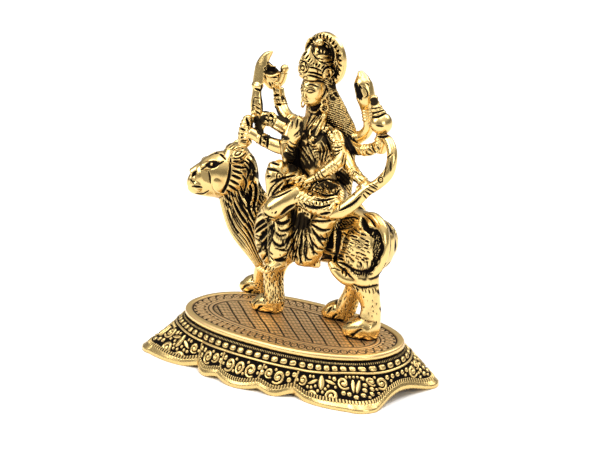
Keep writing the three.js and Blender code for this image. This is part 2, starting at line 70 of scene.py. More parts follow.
class PlinthSizes(bpy.types.PropertyGroup):
    """Sizes of the plinth."""

    platform_length: bpy.props.FloatProperty(
        name="Platform length", description="Long axis of the oval", default=0.113, unit="LENGTH"
    )
    platform_width: bpy.props.FloatProperty(
        name="Platform width", description="Short axis of the oval", default=0.058, unit="LENGTH"
    )
    bead_pitch: bpy.props.FloatProperty(
        name="Bead pitch", description="From one large bead to the next", default=0.0048, unit="LENGTH"
    )
    relief: bpy.props.FloatProperty(
        name="Relief", description="Height of beads and scrolls", default=0.0008, unit="LENGTH"
    )


class Finish(bpy.types.PropertyGroup):
    """Colours and roughness of the plating and its patina. The patina black and the deep gold
    also serve as painted shade.
    """

    gold: bpy.props.FloatVectorProperty(
        name="Gold", description="Polished plating", default=(0.86, 0.61, 0.24), subtype="COLOR", size=3
    )
    # Deep gold: a darker gold laid in random clouds, and in hollows and gaps as painted shade
    deep_gold: bpy.props.FloatVectorProperty(
        name="Deep gold", description="Warmer plating in hollows", default=(0.56, 0.29, 0.08),
        subtype="COLOR", size=3,
    )
    patina: bpy.props.FloatVectorProperty(
        name="Patina", description="Black in the recesses", default=(0.012, 0.009, 0.008),
        subtype="COLOR", size=3,
    )
    platform: bpy.props.FloatVectorProperty(
        name="Platform gold", description="Duller plating of the platform", default=(0.94, 0.61, 0.3),
        subtype="COLOR", size=3,
    )
    polish: bpy.props.FloatProperty(
        name="Polish roughness", description="Roughness of the ridges", default=0.22, min=0, max=1
    )


# Curves and closed surfaces as whole arrays


def smooth_curve(rows, shares):
    """Centripetal Catmull-Rom curve through the rows: on each span the cubic that meets both rows
    with slopes taken over the square roots of the neighbouring distances."""
    rows = np.asarray(rows, float)
    padded = np.vstack([2 * rows[0] - rows[1], rows, 2 * rows[-1] - rows[-2]])
    along = np.clip(np.asarray(shares, float), 0, 1) * (len(rows) - 1)
    span = np.minimum(along.astype(int), len(rows) - 2)
    u = (along - span)[:, None]
    p0, p1, p2, p3 = (padded[span + k] for k in range(4))
    d0, d1, d2 = (
        np.maximum(np.linalg.norm(b - a, axis=1, keepdims=True), 1e-6) ** 0.5
        for a, b in ((p0, p1), (p1, p2), (p2, p3))
    )
    m1 = ((p1 - p0) / d0 - (p2 - p0) / (d0 + d1) + (p2 - p1) / d1) * d1
    m2 = ((p2 - p1) / d1 - (p3 - p1) / (d1 + d2) + (p3 - p2) / d2) * d1
    return (
        p1
        + m1 * u
        + (3 * (p2 - p1) - 2 * m1 - m2) * u**2
        + (2 * (p1 - p2) + m1 + m2) * u**3
    )


def unit(v):
    """Rows of vectors, each divided by its length."""
    return v / np.maximum(np.linalg.norm(v, axis=-1, keepdims=True), 1e-9)


def grid_triangles(rows, columns, wrap_rows=False):
    """Triangles over a grid of points stored row after row, wrapped round its columns."""
    row = np.arange(rows if wrap_rows else rows - 1)[:, None]
    column = np.arange(columns)[None]
    here, there = row * columns, (row + 1) % rows * columns
    right = (column + 1) % columns
    a, b, c, d = (x.ravel() for x in (here + column, here + right, there + right, there + column))
    return np.concatenate([np.stack([a, b, c], 1), np.stack([a, c, d], 1)])


def capped(rings):
    """A closed surface over rings of points: the first and last ring shrink to a point."""
    count, sides = rings.shape[:2]
    body = grid_triangles(count, sides)
    side = np.arange(sides)
    after = (side + 1) % sides
    start, end = np.full((2, sides), count * sides) + [[0], [1]]
    last = (count - 1) * sides
    caps = [np.stack([start, after, side], 1), np.stack([end, last + side, last + after], 1)]
    points = np.vstack([rings.reshape(-1, 3), rings[0].mean(0), rings[-1].mean(0)])
    return points, np.concatenate([body, *caps])


def loft(stations, pitch=0.25, up=(0, 0, 1), relief=None, nose=0.5):
    """A section carried along a smooth curve through the stations [x, y, z, half width, half height].
    The section is an ellipse; relief(t, turn) moves its points out by that
    many millimetres along the section's normal. Each end closes over a dome of `nose` times the
    smaller half size."""
    rows = np.array([list(s) + [s[3]] * (5 - len(s)) for s in stations], float)
    places, sizes = rows[:, :3] * SIZE, rows[:, 3:] * SIZE
    length = np.linalg.norm(np.diff(places, axis=0), axis=1).sum()
    count = max(6, int(length / pitch) + 2)
    sides = max(12, int(ROUND * sizes.mean(1).max() / pitch))
    t = np.linspace(0, 1, count)
    middle = smooth_curve(places, t)
    size = np.maximum(smooth_curve(sizes, t), 0.05)
    step = 1e-3
    along = unit(smooth_curve(places, np.minimum(t + step, 1)) - smooth_curve(places, np.maximum(t - step, 0)))
    across = unit(np.cross(np.asarray(up, float), along))
    over = np.cross(along, across)

    dome = np.linspace(math.pi / 2, 0, max(3, int(size.min() * 1.6 / pitch)), endpoint=False)
    shrink = np.concatenate([np.cos(dome) + 1e-3, np.ones(count), (np.cos(dome) + 1e-3)[::-1]])
    push = np.concatenate([-np.sin(dome), np.zeros(count), np.sin(dome)[::-1]])
    index = np.concatenate([np.zeros(len(dome), int), np.arange(count), np.full(len(dome), count - 1)])
    reach = nose * size.min(1)[index]

    turn = np.arange(sides) / sides
    c, s = np.cos(ROUND * turn), np.sin(ROUND * turn)
    a, b = size[index, 0][:, None], size[index, 1][:, None]
    x, y = a * c, b * s
    if relief is not None:
        lift = np.broadcast_to(relief(t[index][:, None], turn[None]), x.shape) * SIZE
        n = np.stack([c / a, s / b], -1)
        n = n / np.linalg.norm(n, axis=-1, keepdims=True)
        x, y = x + lift * n[..., 0], y + lift * n[..., 1]
    ring = (
        (middle[index] + along[index] * (push * reach)[:, None])[:, None]
        + across[index][:, None] * (x * shrink[:, None])[..., None]
        + over[index][:, None] * (y * shrink[:, None])[..., None]
    )
    return capped(ring)


def ball(place, half, turn=0.0, rings=30):
    """An ellipsoid with its half sizes along x, y and z, turned about the vertical axis."""
    latitude = (np.arange(rings) + 0.5) / rings * math.pi - math.pi / 2
    angle = np.arange(2 * rings) / (2 * rings) * ROUND
    a, b, c = half
    x = a * np.cos(latitude)[:, None] * np.cos(angle)
    y = b * np.cos(latitude)[:, None] * np.sin(angle)
    z = np.broadcast_to(c * np.sin(latitude)[:, None], x.shape)
    cs, sn = math.cos(turn), math.sin(turn)
    points = np.stack([x * cs - y * sn, x * sn + y * cs, z], -1) + np.asarray(place, float)
    return capped(points * SIZE)


def tube(path, radius, pitch=0.35, up=(0.1, 1, 0.2)):
    """A round rod along a smooth path; radius is one number or one for each point."""
    radii = np.broadcast_to(radius, (len(path),))
    return loft([[*p, r] for p, r in zip(path, radii)], pitch=pitch, up=up, nose=1.0)


def hoop(place, across, over, radius, up, count=17):
    """A rod bent round a circle: its place, plus the cosine times across, plus the sine times over."""
    angle = np.linspace(0, ROUND, count)[:, None]
    return tube(np.array(place) + np.cos(angle) * across + np.sin(angle) * over, radius, 0.2, up=up)


DEPTH = (0, 1, 0)  # for a section whose second size lies along the figure's depth


# Relief waves, in shares from 0 in the groove to 1 on the ridge


def ridge(x, sharpness):
    """Rounded ridges with narrow grooves at whole numbers: the absolute sine to a small power."""
    return np.abs(np.sin(math.pi * x)) ** sharpness


def bump(x, width):
    """A smooth swelling round zero, nothing beyond the width."""
    return np.clip(1 - (x / width) ** 2, 0, None) ** 2


def step_up(x, low, high):
    """Rises smoothly from 0 at low to 1 at high."""
    u = np.clip((x - low) / (high - low), 0, 1)
    return u * u * (3 - 2 * u)


# Lion

LION_Y = 15
HEAD_AXIS = np.array([-0.755, -0.656])  # the head looks over the near shoulder
HEAD_SIDE = np.array([0.656, -0.755])
HEAD_TURN = 0.72
NECK = np.array([-38, 12])


def head_place(forward, side, z):
    """A place in the lion's head: forward of the neck, to one side of its axis, above the platform."""
    x, y = NECK + HEAD_AXIS * forward + HEAD_SIDE * side
    return [x, y, z]


def lion_body():
    """A loft from chest to rump, with two haunches and a fold of flank as balls."""
    return [
        loft([
            [-33, LION_Y, 33, 7, 7], [-26, LION_Y, 34.6, 9.6, 11.6], [-12, LION_Y, 38.6, 11.2, 13.2],
            [8, LION_Y, 40, 10.8, 13.4], [24, LION_Y + 0.5, 40.6, 11.2, 13.2], [34, LION_Y + 1, 39.8, 11, 12.6],
            [41, LION_Y + 1, 37.6, 7.5, 9],
        ], pitch=0.4),
        ball([33.5, 9.4, 39.5], [8.6, 6.8, 9.6], rings=40), ball([26.6, 9, 31.4], [7, 5, 4.6]),
        ball([33.5, 2 * LION_Y - 7.4, 39.5], [8.6, 6.8, 9.6], rings=40),
    ]


def mane_locks(t, turn):
    """Locks that sweep rearwards on both flanks as they fall, two finer strands in each."""
    from_front = np.minimum(turn, 1 - turn)
    sway = 0.05 * t * (2 - t) + 0.011 * np.sin(ROUND * (2.1 * t + 2 * from_front))
    strands = ridge(38 * (from_front - sway), 0.75)
    fork = step_up(np.sin(ROUND * (1.7 * t + 9 * from_front)), 0.1, 0.7)
    fine = ridge(76 * (from_front - sway) + 0.5, 0.9)
    return (1.1 * (strands - 1) + 0.5 * fork * (fine - 1)) * step_up(t, 0.2, 0.42) + 0.3


def lion_mane():
    """A loft from the nape down to the chest, with the locks as relief."""
    return loft([
        [-40.2,11,70.6,4,5], [-40.2,11,66.6,6.6,7.2], [-40,11,60,7.8,8.4], [-38.8,12,50,9,10], [-33.6,14,38,10.6,12],
        [-27.6,14.5,29,9,11], [-22.6,13.6,21.5,6.4,8],
    ], pitch=0.24, up=DEPTH, relief=mane_locks)


def lion_head():
    """A loft along the head and one along the nose, balls for muzzle, brows and cheeks, and ears."""
    profile = [
        [-4,59.6,7.2,9], [-1,59.2,8.8,10.4], [4,58.4,9.6,11], [9,57.8,9,11], [13,57,7.6,9.8], [17,56,5.8,8],
        [20.6,55.6,4.4,6.2], [22.4,56.4,3,3.6],
    ]
    parts = [
        loft([[*head_place(f, 0, z), a, b] for f, z, a, b in profile]),
        loft([
            [*head_place(11, 0, 64.6), 3.6, 2.8], [*head_place(17, 0, 62), 2.9, 2.4],
            [*head_place(21.6, 0, 59), 2.6, 2.2],
        ]),
    ]
    for side in (-1, 1):
        parts += [
            ball(head_place(18.6, side * 3, 54.4), [3.4, 2.6, 2.9], HEAD_TURN),
            ball(head_place(14, side * 4.6, 63.6), [4, 2.2, 1.9], HEAD_TURN),
            ball(head_place(9, side * 6, 56.4), [4.4, 3.2, 5], HEAD_TURN),
        ]
        ear = [[4.6,7.4,66.6,1.4,1.4], [2.6,8.8,68.4,1.7,2.7], [-0.2,10,70,1.6,2.5], [-2.8,10.4,71.2,0.9,1]]
        parts.append(loft([[*head_place(f, side * s, z), a, b] for f, s, z, a, b in ear], pitch=0.2))
    return parts


def lion_leg(stations, paw, size=1.0):
    """A loft down the leg, one along the paw and three balls for its toes."""
    x, y = paw
    parts = [
        loft(stations, up=DEPTH, pitch=0.3),
        loft(
            [
                [x + 5.4, y, 3.2 * size, 3.8 * size, 4.4 * size],
                [x + 1.5, y, 3.6 * size, 5 * size, 5.2 * size],
                [x - 3.5 * size, y, 2.6 * size, 5.4 * size, 4.4 * size],
                [x - 6.2 * size, y, 1.8 * size, 4.2 * size, 2.8 * size],
            ],
            pitch=0.3,
        ),
    ]
    for side in (-1, 0, 1):
        place = [x - (5.2 - 0.5 * abs(side)) * size, y + side * 3.2 * size, 2.3 * size]
        parts.append(ball(place, [2.7 * size, 1.9 * size, 2.7 * size], rings=24))
    return parts


def lion_legs():
    """Near fore, far fore, near hind and far hind leg."""
    return [
        *lion_leg([[-12.5,10.5,32,12,7], [-15,8.8,23,6.4,5.4], [-16,8.6,14,4.5], [-15.2,8.3,5,4.8]], (-18.5, 8.1)),
        *lion_leg([[-29,19,34,8,6], [-32,22,24,5.4,5.2], [-35,23.6,13,4.3], [-37,24.6,5,4.5]], (-40.3, 24.6)),
        *lion_leg([[32,10.5,38,10,7.5], [35.5,9.6,25,7,6], [39.2,9.6,14,4.4], [38.8,8.8,5,5.2]], (36.6, 7.6), 1.16),
        *lion_leg([[30,20,36,9,7], [24,20.6,24,6,5.6], [19.3,21,13,4.3], [15.6,20.8,5,4.8]], (11.8, 20.8)),
    ]


def lion_tail():
    """A loft that starts at the rump, falls behind it and curls forward on the near thigh."""
    return loft([
        [30,16,51,2.4,2.2], [36,15.6,51.6,2.6], [41.6,14.2,48,2.7], [44,12.6,41,2.6], [42.6,11,33.6,2.7],
        [37.2,7.6,26.4,2.9], [30,4.6,25.6,2.9], [25,4,28.4,2.8], [21.6,4.2,31.4,2.2],
    ], pitch=0.3, up=(0, 1, 0.1))


def saddle_quilt(t, turn):
    """Lozenges with a stud in each on the far flank, between rolled borders. The hem's line is a
    row of absolute sines, and below it the surface drops into the lion's body."""
    fall = np.where(turn > 0.5, turn - 1, turn)
    hem = 0.014 * np.abs(np.sin(9 * math.pi * t)) - 0.085
    a, b = 9 * t + 12 * fall, 9 * t - 12 * fall
    quilt = 0.6 * (np.minimum(ridge(a, 0.6), ridge(b, 0.6)) - 1)
    quilt = quilt + 0.35 * step_up((np.sin(math.pi * a) * np.sin(math.pi * b)) ** 2, 0.6, 0.9)
    field = step_up(t, 0.09, 0.1) * step_up(0.91 - t, 0, 0.01) * step_up(fall - hem, 0.03, 0.036)
    rolls = sum(bump(t - at, 0.02) for at in (0.07, 0.02, 0.93, 0.98)) + bump(fall - hem - 0.018, 0.01)
    below = step_up(hem - fall, -0.002, 0.004) * step_up(fall, -0.2, -0.17)
    return (quilt * field + 0.5 * rolls - 2.2 * below) * step_up(0.24 - np.abs(fall), 0, 0.01)


def saddle_cloth():
    """A short loft over the back, a little wider than the body, with the quilt as relief."""
    return loft(
        [[-14, LION_Y, 40.6, 12, 14], [4, LION_Y, 42, 12, 13.6], [23.5, LION_Y + 0.5, 42.4, 12.3, 14]],
        pitch=0.3, nose=0.03, relief=saddle_quilt,
    )


# Goddess

HEAD = np.array([6.4, 10, 105.6])


def torso():
    """A loft from hips to neck, with breasts and a raised knee's hip as balls."""
    return [
        loft([
            [10.5,12,54,11,8], [10,11.6,62,8.8,7], [8,10.6,71,8.4,6.8], [7.2,10.6,80,9.2,6.4], [6,11.4,88,10.4,5.2],
            [5.7,12,92.5,5.6,4.2], [5.6,11.6,98.5,2.9,2.9],
        ], up=DEPTH, pitch=0.3),
        ball([4.6, 6.6, 83], [3.8, 3, 3.8]), ball([12.8, 6.8, 83], [3.8, 3, 3.8]),
        ball([-2, 9.5, 70], [6.5, 5, 10], rings=40),
    ]


def garland():
    """Two rods that fall from the shoulders to a round pendant."""
    return [
        tube(
            [[10.8, 11.5, 94.8], [10.7, 9.8, 92.5], [11.4, 6.9, 90.2], [10.9, 5.7, 87.8], [10.2, 4.6, 85.8]], 1.15,
            0.25,
        ),
        tube([[8.4, 8.4, 95.6], [7.1, 7.3, 92], [6.9, 5.9, 89.1], [7.7, 5, 86.8], [9, 4.6, 85.6]], 0.85, 0.25),
        ball([9.9, 4.3, 84.5], [2.1, 1.3, 2.2]),
    ]


def head():
    """Balls for skull, jaw, chin and ears, and a short loft for the nose."""
    x, y, z = HEAD
    return [
        ball([x, y, z], [5.6, 6.4, 7], rings=60), ball([x, y - 1.4, z - 3.4], [4.2, 4.7, 4.2], rings=60),
        ball([x, y - 2.6, z - 5.9], [1.9, 2.5, 1.5], rings=40),
        loft(
            [[x, y - 5.9, z + 1, 0.55, 0.7], [x, y - 6.6, z - 1.4, 0.75, 0.8], [x, y - 6.9, z - 2.7, 1.1, 0.8]],
            pitch=0.15, up=DEPTH,
        ),
        ball([x - 5.4, y + 0.6, z - 1.6], [0.9, 1.5, 2.4]), ball([x + 5.4, y + 0.6, z - 1.6], [0.9, 1.5, 2.4]),
    ]


def earrings():
    """Two hoops below each ear."""
    x, y, z = HEAD
    return [
        hoop(
            [x + side * (5.7 + 0.25 * r), y - 0.4, z - drop], [0.35 * r * side, r, 0], [0, 0, r], 0.42, (1, 0.2, 0.1),
            21,
        ) for side in (-1, 1) for drop, r in ((4.6, 1.3), (7.4, 1.7))
    ]


def veil_weave(t, turn):
    """A pebbled weave: the product of two crossing waves, over long soft folds."""
    sway = 0.8 * np.sin(ROUND * (3.3 * t + 5 * turn)) + 0.6 * np.sin(ROUND * (7 * t - 11 * turn))
    sway = sway + 1.1 * np.sin(ROUND * (13.4 * t + 17 * turn)) + 0.9 * np.sin(ROUND * (19.7 * t - 23 * turn))
    pebbles = np.sin(ROUND * (40 * turn + 14 * t + sway)) * np.sin(ROUND * (34 * t - 16 * turn - sway))
    return 0.3 * pebbles + 0.16 * (ridge(11 * turn + 0.4 * np.sin(ROUND * 1.5 * t), 0.8) - 1)


def hair():
    """The veil and the hair under it: a flat loft from the head down the back."""
    return loft([
        [6.6,14,111,6,5], [6.4,15.2,103,8,4.6], [8,16.4,94,11.6,4.4], [9,17,86,15,4.6], [9,17,74,14,5],
        [10,16.4,60,11.5,5.4], [10.4,16,52,10,5],
    ], pitch=0.27, up=DEPTH, relief=veil_weave)


def crest():
    """A disc with a thick smooth edge, a ring groove and radial slits inside its rim, front and back."""
    rings = 90
    share = np.concatenate([np.linspace(0.02, 1, rings) ** 0.9, np.ones(7), np.linspace(1, 0.02, rings) ** 0.9])
    deep = np.concatenate([np.ones(rings), np.cos(np.linspace(0, math.pi, 9)[1:-1]), -np.ones(rings)])
    around = np.arange(420) / 420
    r = share[:, None]
    rim = 0.86
    slits = bump((around * 30) % 1 - 0.5, 0.3)[None] * bump(r - 0.84, 0.11)
    grooves = bump(r - 0.7, 0.045) + 0.8 * bump(r - 0.5, 0.03)
    rays = 0.3 * ridge(around * 24, 1.2)[None] * bump(r - 0.6, 0.07)
    swell = 0.35 * bump(r - rim, 0.14) - 0.5 * (r < 0.47)
    thick = 1.55 + swell - 0.75 * slits - 0.6 * grooves - rays + 0 * r
    edge = np.sqrt(np.clip(1 - ((r - 0.93) / 0.07) ** 2, 0.12, 1)) * (r > 0.93) + (r <= 0.93)
    ends = np.abs(deep)[:, None] < 0.999
    y = np.where(ends, 1.3 * deep[:, None] + 0 * around, deep[:, None] * thick * edge)
    x = 10.8 * r * np.cos(ROUND * around)
    z = 12 * r * np.sin(ROUND * around)
    points = np.stack([x + 8.3, 15.7 - y, z + 118], -1)
    return capped(points * SIZE)


def crown():
    """A band, a pointed front plate, a cap and its knob, and a rosette in front and at each side."""
    x, y = HEAD[:2]
    parts = [
        loft(
            [[x, y - 0.2, 110.9, 6.2, 6.9], [x, y + 0.4, 113.8, 6.6, 7], [x + 0.4, y + 1.2, 117, 6.4, 6.6]], up=DEPTH,
            nose=0.1, pitch=0.2,
        ),
        loft([
            [x + 0.1, y - 4.2, 111.6, 4.8, 2.2], [x + 0.2, y - 4.4, 114, 5.3, 2.4], [x + 0.2, y - 4.6, 117, 5, 2.2],
            [x + 0.2, y - 3.8, 121, 3.4, 1.8], [x + 0.8, y - 2.4, 125, 1, 1],
        ], up=DEPTH, pitch=0.2),
        ball([x + 1.2, y + 1, 116.4], [5.8, 6.2, 8.2], rings=60), ball([x + 1.4, y + 1.6, 126], [2, 2, 2]),
        hoop([x - 0.2, y - 7.3, 116.2], [1.6, 0, 0], [0, 0, 1.7], 0.42, (0, 1, 0.1)),
        ball([x - 0.2, y - 7.2, 116.2], [0.8, 0.9, 0.8], rings=20),
    ]
    for side in (-1, 1):
        parts += [
            hoop([x + side * 6.9 + 0.3, y + 0.2, 113.6], [0, 2.2, 0], [0, 0, 2.2], 0.8, (1, 0, 0.1)),
            ball([x + side * 6.5, y + 0.2, 113.6], [1, 1.4, 1.4], rings=20),
        ]
    return parts


def ringed(t, turn, places, size=0.5, width=0.022):
    """Rings round a limb: a bump at each place along it."""
    return sum(size * bump(t - s, width) for s in places) + 0 * turn


def arm(stations, bands=(0.66, 0.71, 0.76, 0.81), upper=(0.2, 0.25)):
    """An arm with a stack of bangles before the hand and an armlet near the shoulder."""
    return loft(
        stations, up=(0.2, 0.9, 0.3),
        relief=lambda t, turn: ringed(t, turn, bands) + ringed(t, turn, upper, 0.35, 0.03),
    )


def fingers(start, spread, reach, radius=0.85, count=4):
    """Fingers side by side: each a short rod from its knuckle."""
    start, spread, reach = (np.array(v, float) for v in (start, spread, reach))
    rods = []
    for k in range(count):
        base = start + spread * (k / (count - 1) - 0.5)
        tip = base + reach * (1 - 0.12 * abs(k - 1.4))
        rods.append(tube([base, (base + tip) / 2 + [0, -0.3, 0.1], tip], radius, pitch=0.2, up=(0.3, 0.2, 1)))
    return rods


def right_arms():
    """Four arms with their hands: the blessing one, then the ones with bowl, sword and bundle."""
    return [
        arm([[-5.4,11,87.5,3.6], [-6,7,80,3.2], [-3.4,4.6,73.6,3], [-1.4,3.2,77.5,2.5], [0.2,2.5,81,2.2]]),
        loft([
            [0.2,2.4,80.6,2.4,1.8], [1.6,1.8,84,3.3,2.2], [2.8,1.5,87.6,3.7,2], [4.6,1.4,91.4,3.2,1.6],
            [5.6,1.4,94,2,1.2],
        ], 0.22, DEPTH),
        tube([[4.6, 0.4, 84.4], [6.8, 0, 87], [7.4, 0.3, 89.6]], 0.95),
        arm([[-4,14,87,3.4], [-11,14.6,87.4,3.1], [-16.6,16.2,90,2.9], [-19.6,17.2,94,2.6], [-20.8,17.6,99,2.5]]),
        *fingers([-21, 16.6, 99.6], [3, 0.4, 0.6], [0.4, -1.6, 3], 0.8),
        arm([[-4,10.6,83.4,3.6], [-8.4,9.6,84.8,3.5], [-14,8.6,87,3.1], [-19,8,88.2,2.8], [-24,8,87.4,2.5]]),
        *fingers([-24.4, 5.9, 89.4], [0.3, 0.2, 6], [-2.2, 0.6, 0], 0.85),
        loft(
            [[-19.4,8,90.6,1.4,1.2], [-21,7.4,88.4,2.8,1.4], [-21.6,6,84.6,3,1.4], [-20.6,4.6,81.8,2.2,1.4]],
            up=DEPTH,
        ),
        arm([[-4,9,78,3.5], [-9,7,77.2,3.4], [-13.6,5.4,78,3], [-18,3.6,80,2.6], [-23,1.8,82.4,2.5]]),
        *fingers([-23.4, 0, 82.6], [0.6, 0.4, 5], [-2.4, 0.4, -0.6], 0.8),
    ]


def left_arms():
    """Four arms: on the knee, at the bow, at the mace and under the conch."""
    return [
        arm([[17,11,87,3.8], [22,8.6,82,3.2], [25,5.4,78,3], [23.4,1,75,2.5], [20,-2,72,2.2]]),
        loft([[20,-2,72,2.2,1.6], [17,-3.6,70.2,3,1.6], [14.6,-4.6,69,2.8,1.3]], 0.22),
        *fingers([14.6, -4.6, 68.8], [-1.4, -2, 4.2], [-4.2, -1.6, -1.6], 0.85),
        arm([[17,11.4,84,3.4], [23,9.6,80.6,3], [28,7.8,77,2.7], [33.4,6,73,2.3], [38.6,5,70.8,2.5]]),
        *fingers([39.6, 2.6, 70.4], [3.4, 0.8, 2.6], [0.6, -1.2, -2.4], 0.85),
        arm([[16,14,85,3.4], [22,13.6,82.6,3], [28,13,81.8,2.6], [35.6,12.2,83.2,2.3], [41,12,86,2.6]]),
        *fingers([41, 9.8, 86.8], [0.6, 0.2, 5.2], [2.8, -0.4, 0], 0.85),
        arm([[17,16.4,85,3.2], [25,18,85.6,2.7], [30,18.2,90.5,2.4], [29.4,18,97,2.1], [28.6,18,103,2.4]]),
    ]


def conch():
    """A pear-shaped loft whose tip winds in a rounded screw."""
    whorl = lambda t, turn: 0.45 * (ridge(2.6 * t + 0.8 * turn, 0.8) - 1) * step_up(t, 0.55, 0.8)
    return loft(
        [[28.6,17.6,99,2.2,2], [29.2,17.4,104,4.4,3.8], [27.8,17.4,109.6,4.4,3.8], [25.8,17.8,114.6,1.6,1.6]],
        up=DEPTH, relief=whorl,
    )


def mace():
    """A stem, a ball and a ringed tip."""
    rings = lambda t, turn: 0.6 * (ridge(3 * t + 0.15, 0.7) - 0.6) + 0 * turn
    return [
        loft([[42,12,84,2.6], [42.6,12,88,3], [42.6,12,92,2.2]], 0.4, DEPTH),
        ball([42.4, 12, 96.2], [4.9, 4.9, 4.9], rings=50),
        loft(
            [[41.6,12,99,3.2], [40,12,101.6,2.7], [39,12,104,1.9], [38.6,12,105.8,1.5]], pitch=0.22, up=DEPTH,
            relief=rings,
        ),
        ball([38.4, 11.8, 106.4], [1.9, 1.9, 1.7], rings=24),
    ]


def bow():
    """A loft along the bent stave, and a ball for the grip."""
    return [
        loft([
            [43,12,91,1.8,1.6], [47.8,10.8,89.2,2.2,2], [51.4,8.6,84.4,2.6,2.2], [51.4,6.4,77.4,2.6,2.2],
            [47,4.4,71.8,2.4,2.2], [42.6,2.6,68.6,2.6,2.6], [37.6,-1.2,62.8,3.4,2.4], [33.4,-3.6,58.8,3.2,2],
            [28.8,-5.2,56,1,1],
        ], up=(0.3, 0.9, 0.1)),
        ball([41, 3.8, 69.6], [3.6, 3.2, 2.8], -0.5),
    ]


def sword():
    """A loft along the curved blade and its hilt, with one ring as relief."""
    return loft([
        [-24.6,7.8,86,2.9,2], [-25,7.8,93,3.2,2.2], [-25.4,8.4,99,2.4,1.4], [-25.6,9.6,104,3,1.2],
        [-25.2,11,110,3,1.2], [-23.4,12.4,114.4,2.2,1.1], [-20.6,13,117,0.7,0.7],
    ], up=DEPTH, relief=lambda t, turn: 0.5 * bump(t - 0.42, 0.05) + 0 * turn)


def bowl():
    """A curled stem with a knob, and a flat loft for the blade-shaped bowl behind it."""
    return [
        loft([[-27,15,103.4,1.6], [-23.6,17,101,3,2.2], [-20,18,103,2.4,2], [-18.4,18.4,107,1.8]]),
        ball([-18, 18.4, 108.8], [1.9, 1.9, 1.9], rings=24),
        loft([[-24.4,12.4,112,1.6,0.8], [-23,14,107,3.8,1], [-21,16,103.6,4,1.2]], up=(0.627, -0.722, 0.292)),
    ]


def bundle():
    """A short loft wound round with ridges."""
    wraps = lambda t, turn: 0.55 * (ridge(7 * t, 0.7) - 1) + 0.2 + 0 * turn
    return loft(
        [[-24.6,2,89,2,2], [-25.6,1.8,85.4,2.9,2.6], [-27,2.4,80.4,3.2,3], [-28.6,4,76,2.8,3]], up=DEPTH,
        relief=wraps,
    )


# Legs and drapery


def cloth(stations, folds, depth, slant):
    """Cloth over a limb: folds across it, slanted by a share of a fold per turn."""
    return loft(
        stations, nose=0.4,
        relief=lambda t, turn: depth * (ridge(folds * t + slant * np.sin(ROUND * turn), 0.7) - 1) + 0.15,
    )


def right_leg():
    """Thigh and shin in cloth, the foot and its toes."""
    return [
        cloth([[6,9,60,8,7], [1,1,66,6.4,6], [-2.4,-5.4,71,4.8]], 6, 0.4, 0.6),
        loft([
            [-2.6,-5.6,73.4,3,3], [-1.4,-6.4,69,4.8,4.6], [0.4,-6.6,58,5.2,5], [1.2,-6.4,46,5.8,5.2],
            [1,-6.8,37,5.6,5], [0.6,-8,31.6,4,3.4],
        ], up=DEPTH),
        loft([[2.2,-6,30,2.6], [0.6,-9.6,29.4,3.4,2.6], [-0.8,-12.6,28.6,3.6,2]], pitch=0.22),
        *fingers([-1, -13.2, 28.2], [5.4, -1.2, 0], [-0.6, -2.6, -0.5], 0.95),
    ]


def left_leg():
    """Thigh and folded shin in cloth, the foot on the lap and its toes."""
    return [
        cloth([[15,9,60,8.6,7], [23,3,60,6.6,6], [28.5,-2,58.6,5]], 7, 0.5, 0.5),
        cloth([[28,-1.6,58,4.8], [20,-4.6,59.6,5,4.6], [12,-6.6,62,4.2,4]], 9, 0.5, 0.6),
        loft([[12.6,-6.4,64,3.2,3.4], [8,-9.4,60,4.6,4.8], [3,-11.8,56,5.2,5], [0.8,-12.8,53.6,4.6,4]], pitch=0.22),
        *fingers([0.6, -13.2, 54], [-5, 2.6, 3.6], [-1.4, -1.2, -1.6], 1.1),
    ]


def fan_pleats(t, turn):
    """Pleats that spread downwards, each with a scalloped end."""
    pleats = ridge(24 * turn + 0.25 * np.sin(ROUND * 1.3 * t), 0.6)
    return 1.1 * (pleats - 1) * step_up(t, 0.02, 0.25) + 0.3 * step_up(t, 0.75, 0.9)


def skirt():
    """The fan of pleats between the knees and a fall of cloth on each side of it."""
    return [
        loft(
            [[8.4,1.5,56,7,5], [5,0.6,46,11.6,4.4], [2.6,0.6,37,14.8,4.2], [1.8,1.4,31.4,15.4,3.4]], up=DEPTH,
            relief=fan_pleats, nose=0.6,
        ),
        loft([
            [24,-1,55,5,4.2], [18.8,-0.8,47,5.4,4.4], [15.4,-0.2,39,5.4,4], [11.4,0.4,33,4.6,3.6], [6,0.6,30.6,3,3],
        ], up=DEPTH),
        loft([
            [-3.4,-2.4,56,5,3.6], [-8.6,-0.8,48,6.8,4.6], [-12.2,0.6,39,7.2,4.6], [-13.2,2,30.4,5.8,4],
            [-12.6,3,25.4,3.6,3],
        ], up=DEPTH),
    ]


# Plinth

PLATFORM_ROUNDNESS = 2.3  # the power of the oval's superellipse
PLATFORM_SHIFT = (2, 1.2)
RIM_HEIGHT = 2
EDGE_BEVEL = 0.6
TIP = (67, 27.8)
TIP_RADIUS = 8.5
END_HOLLOW = 2.5
END_ARCH = 3.8
OUTER_NOTCH = (28, 28.8)
INNER_NOTCH = (11.5, 34.2)
LOBE_BULGE = 2.4
NOTCH_LIFT = 1.6
WALL = 2.5
LIP = 1.6
RIM_TURNS = (0, 30, 43, 64, 81, 90)
FIELD_INSET = 12.8
BAND_INSET = 10
RIM_INSET = 3.2
CIRCLE_PITCH = 3.9
LIP_RISE = 0.35


def platform_edge(turn, inset, sizes):
    """The oval: half sizes times the cosine and sine, each to the power of 2 over the roundness."""
    c, s = np.cos(turn), np.sin(turn)
    power = 2 / PLATFORM_ROUNDNESS
    x = (sizes.platform_length / MM / 2 - inset) * np.sign(c) * np.abs(c) ** power
    y = (sizes.platform_width / MM / 2 - inset) * np.sign(s) * np.abs(s) ** power
    return x + PLATFORM_SHIFT[0], y + PLATFORM_SHIFT[1]


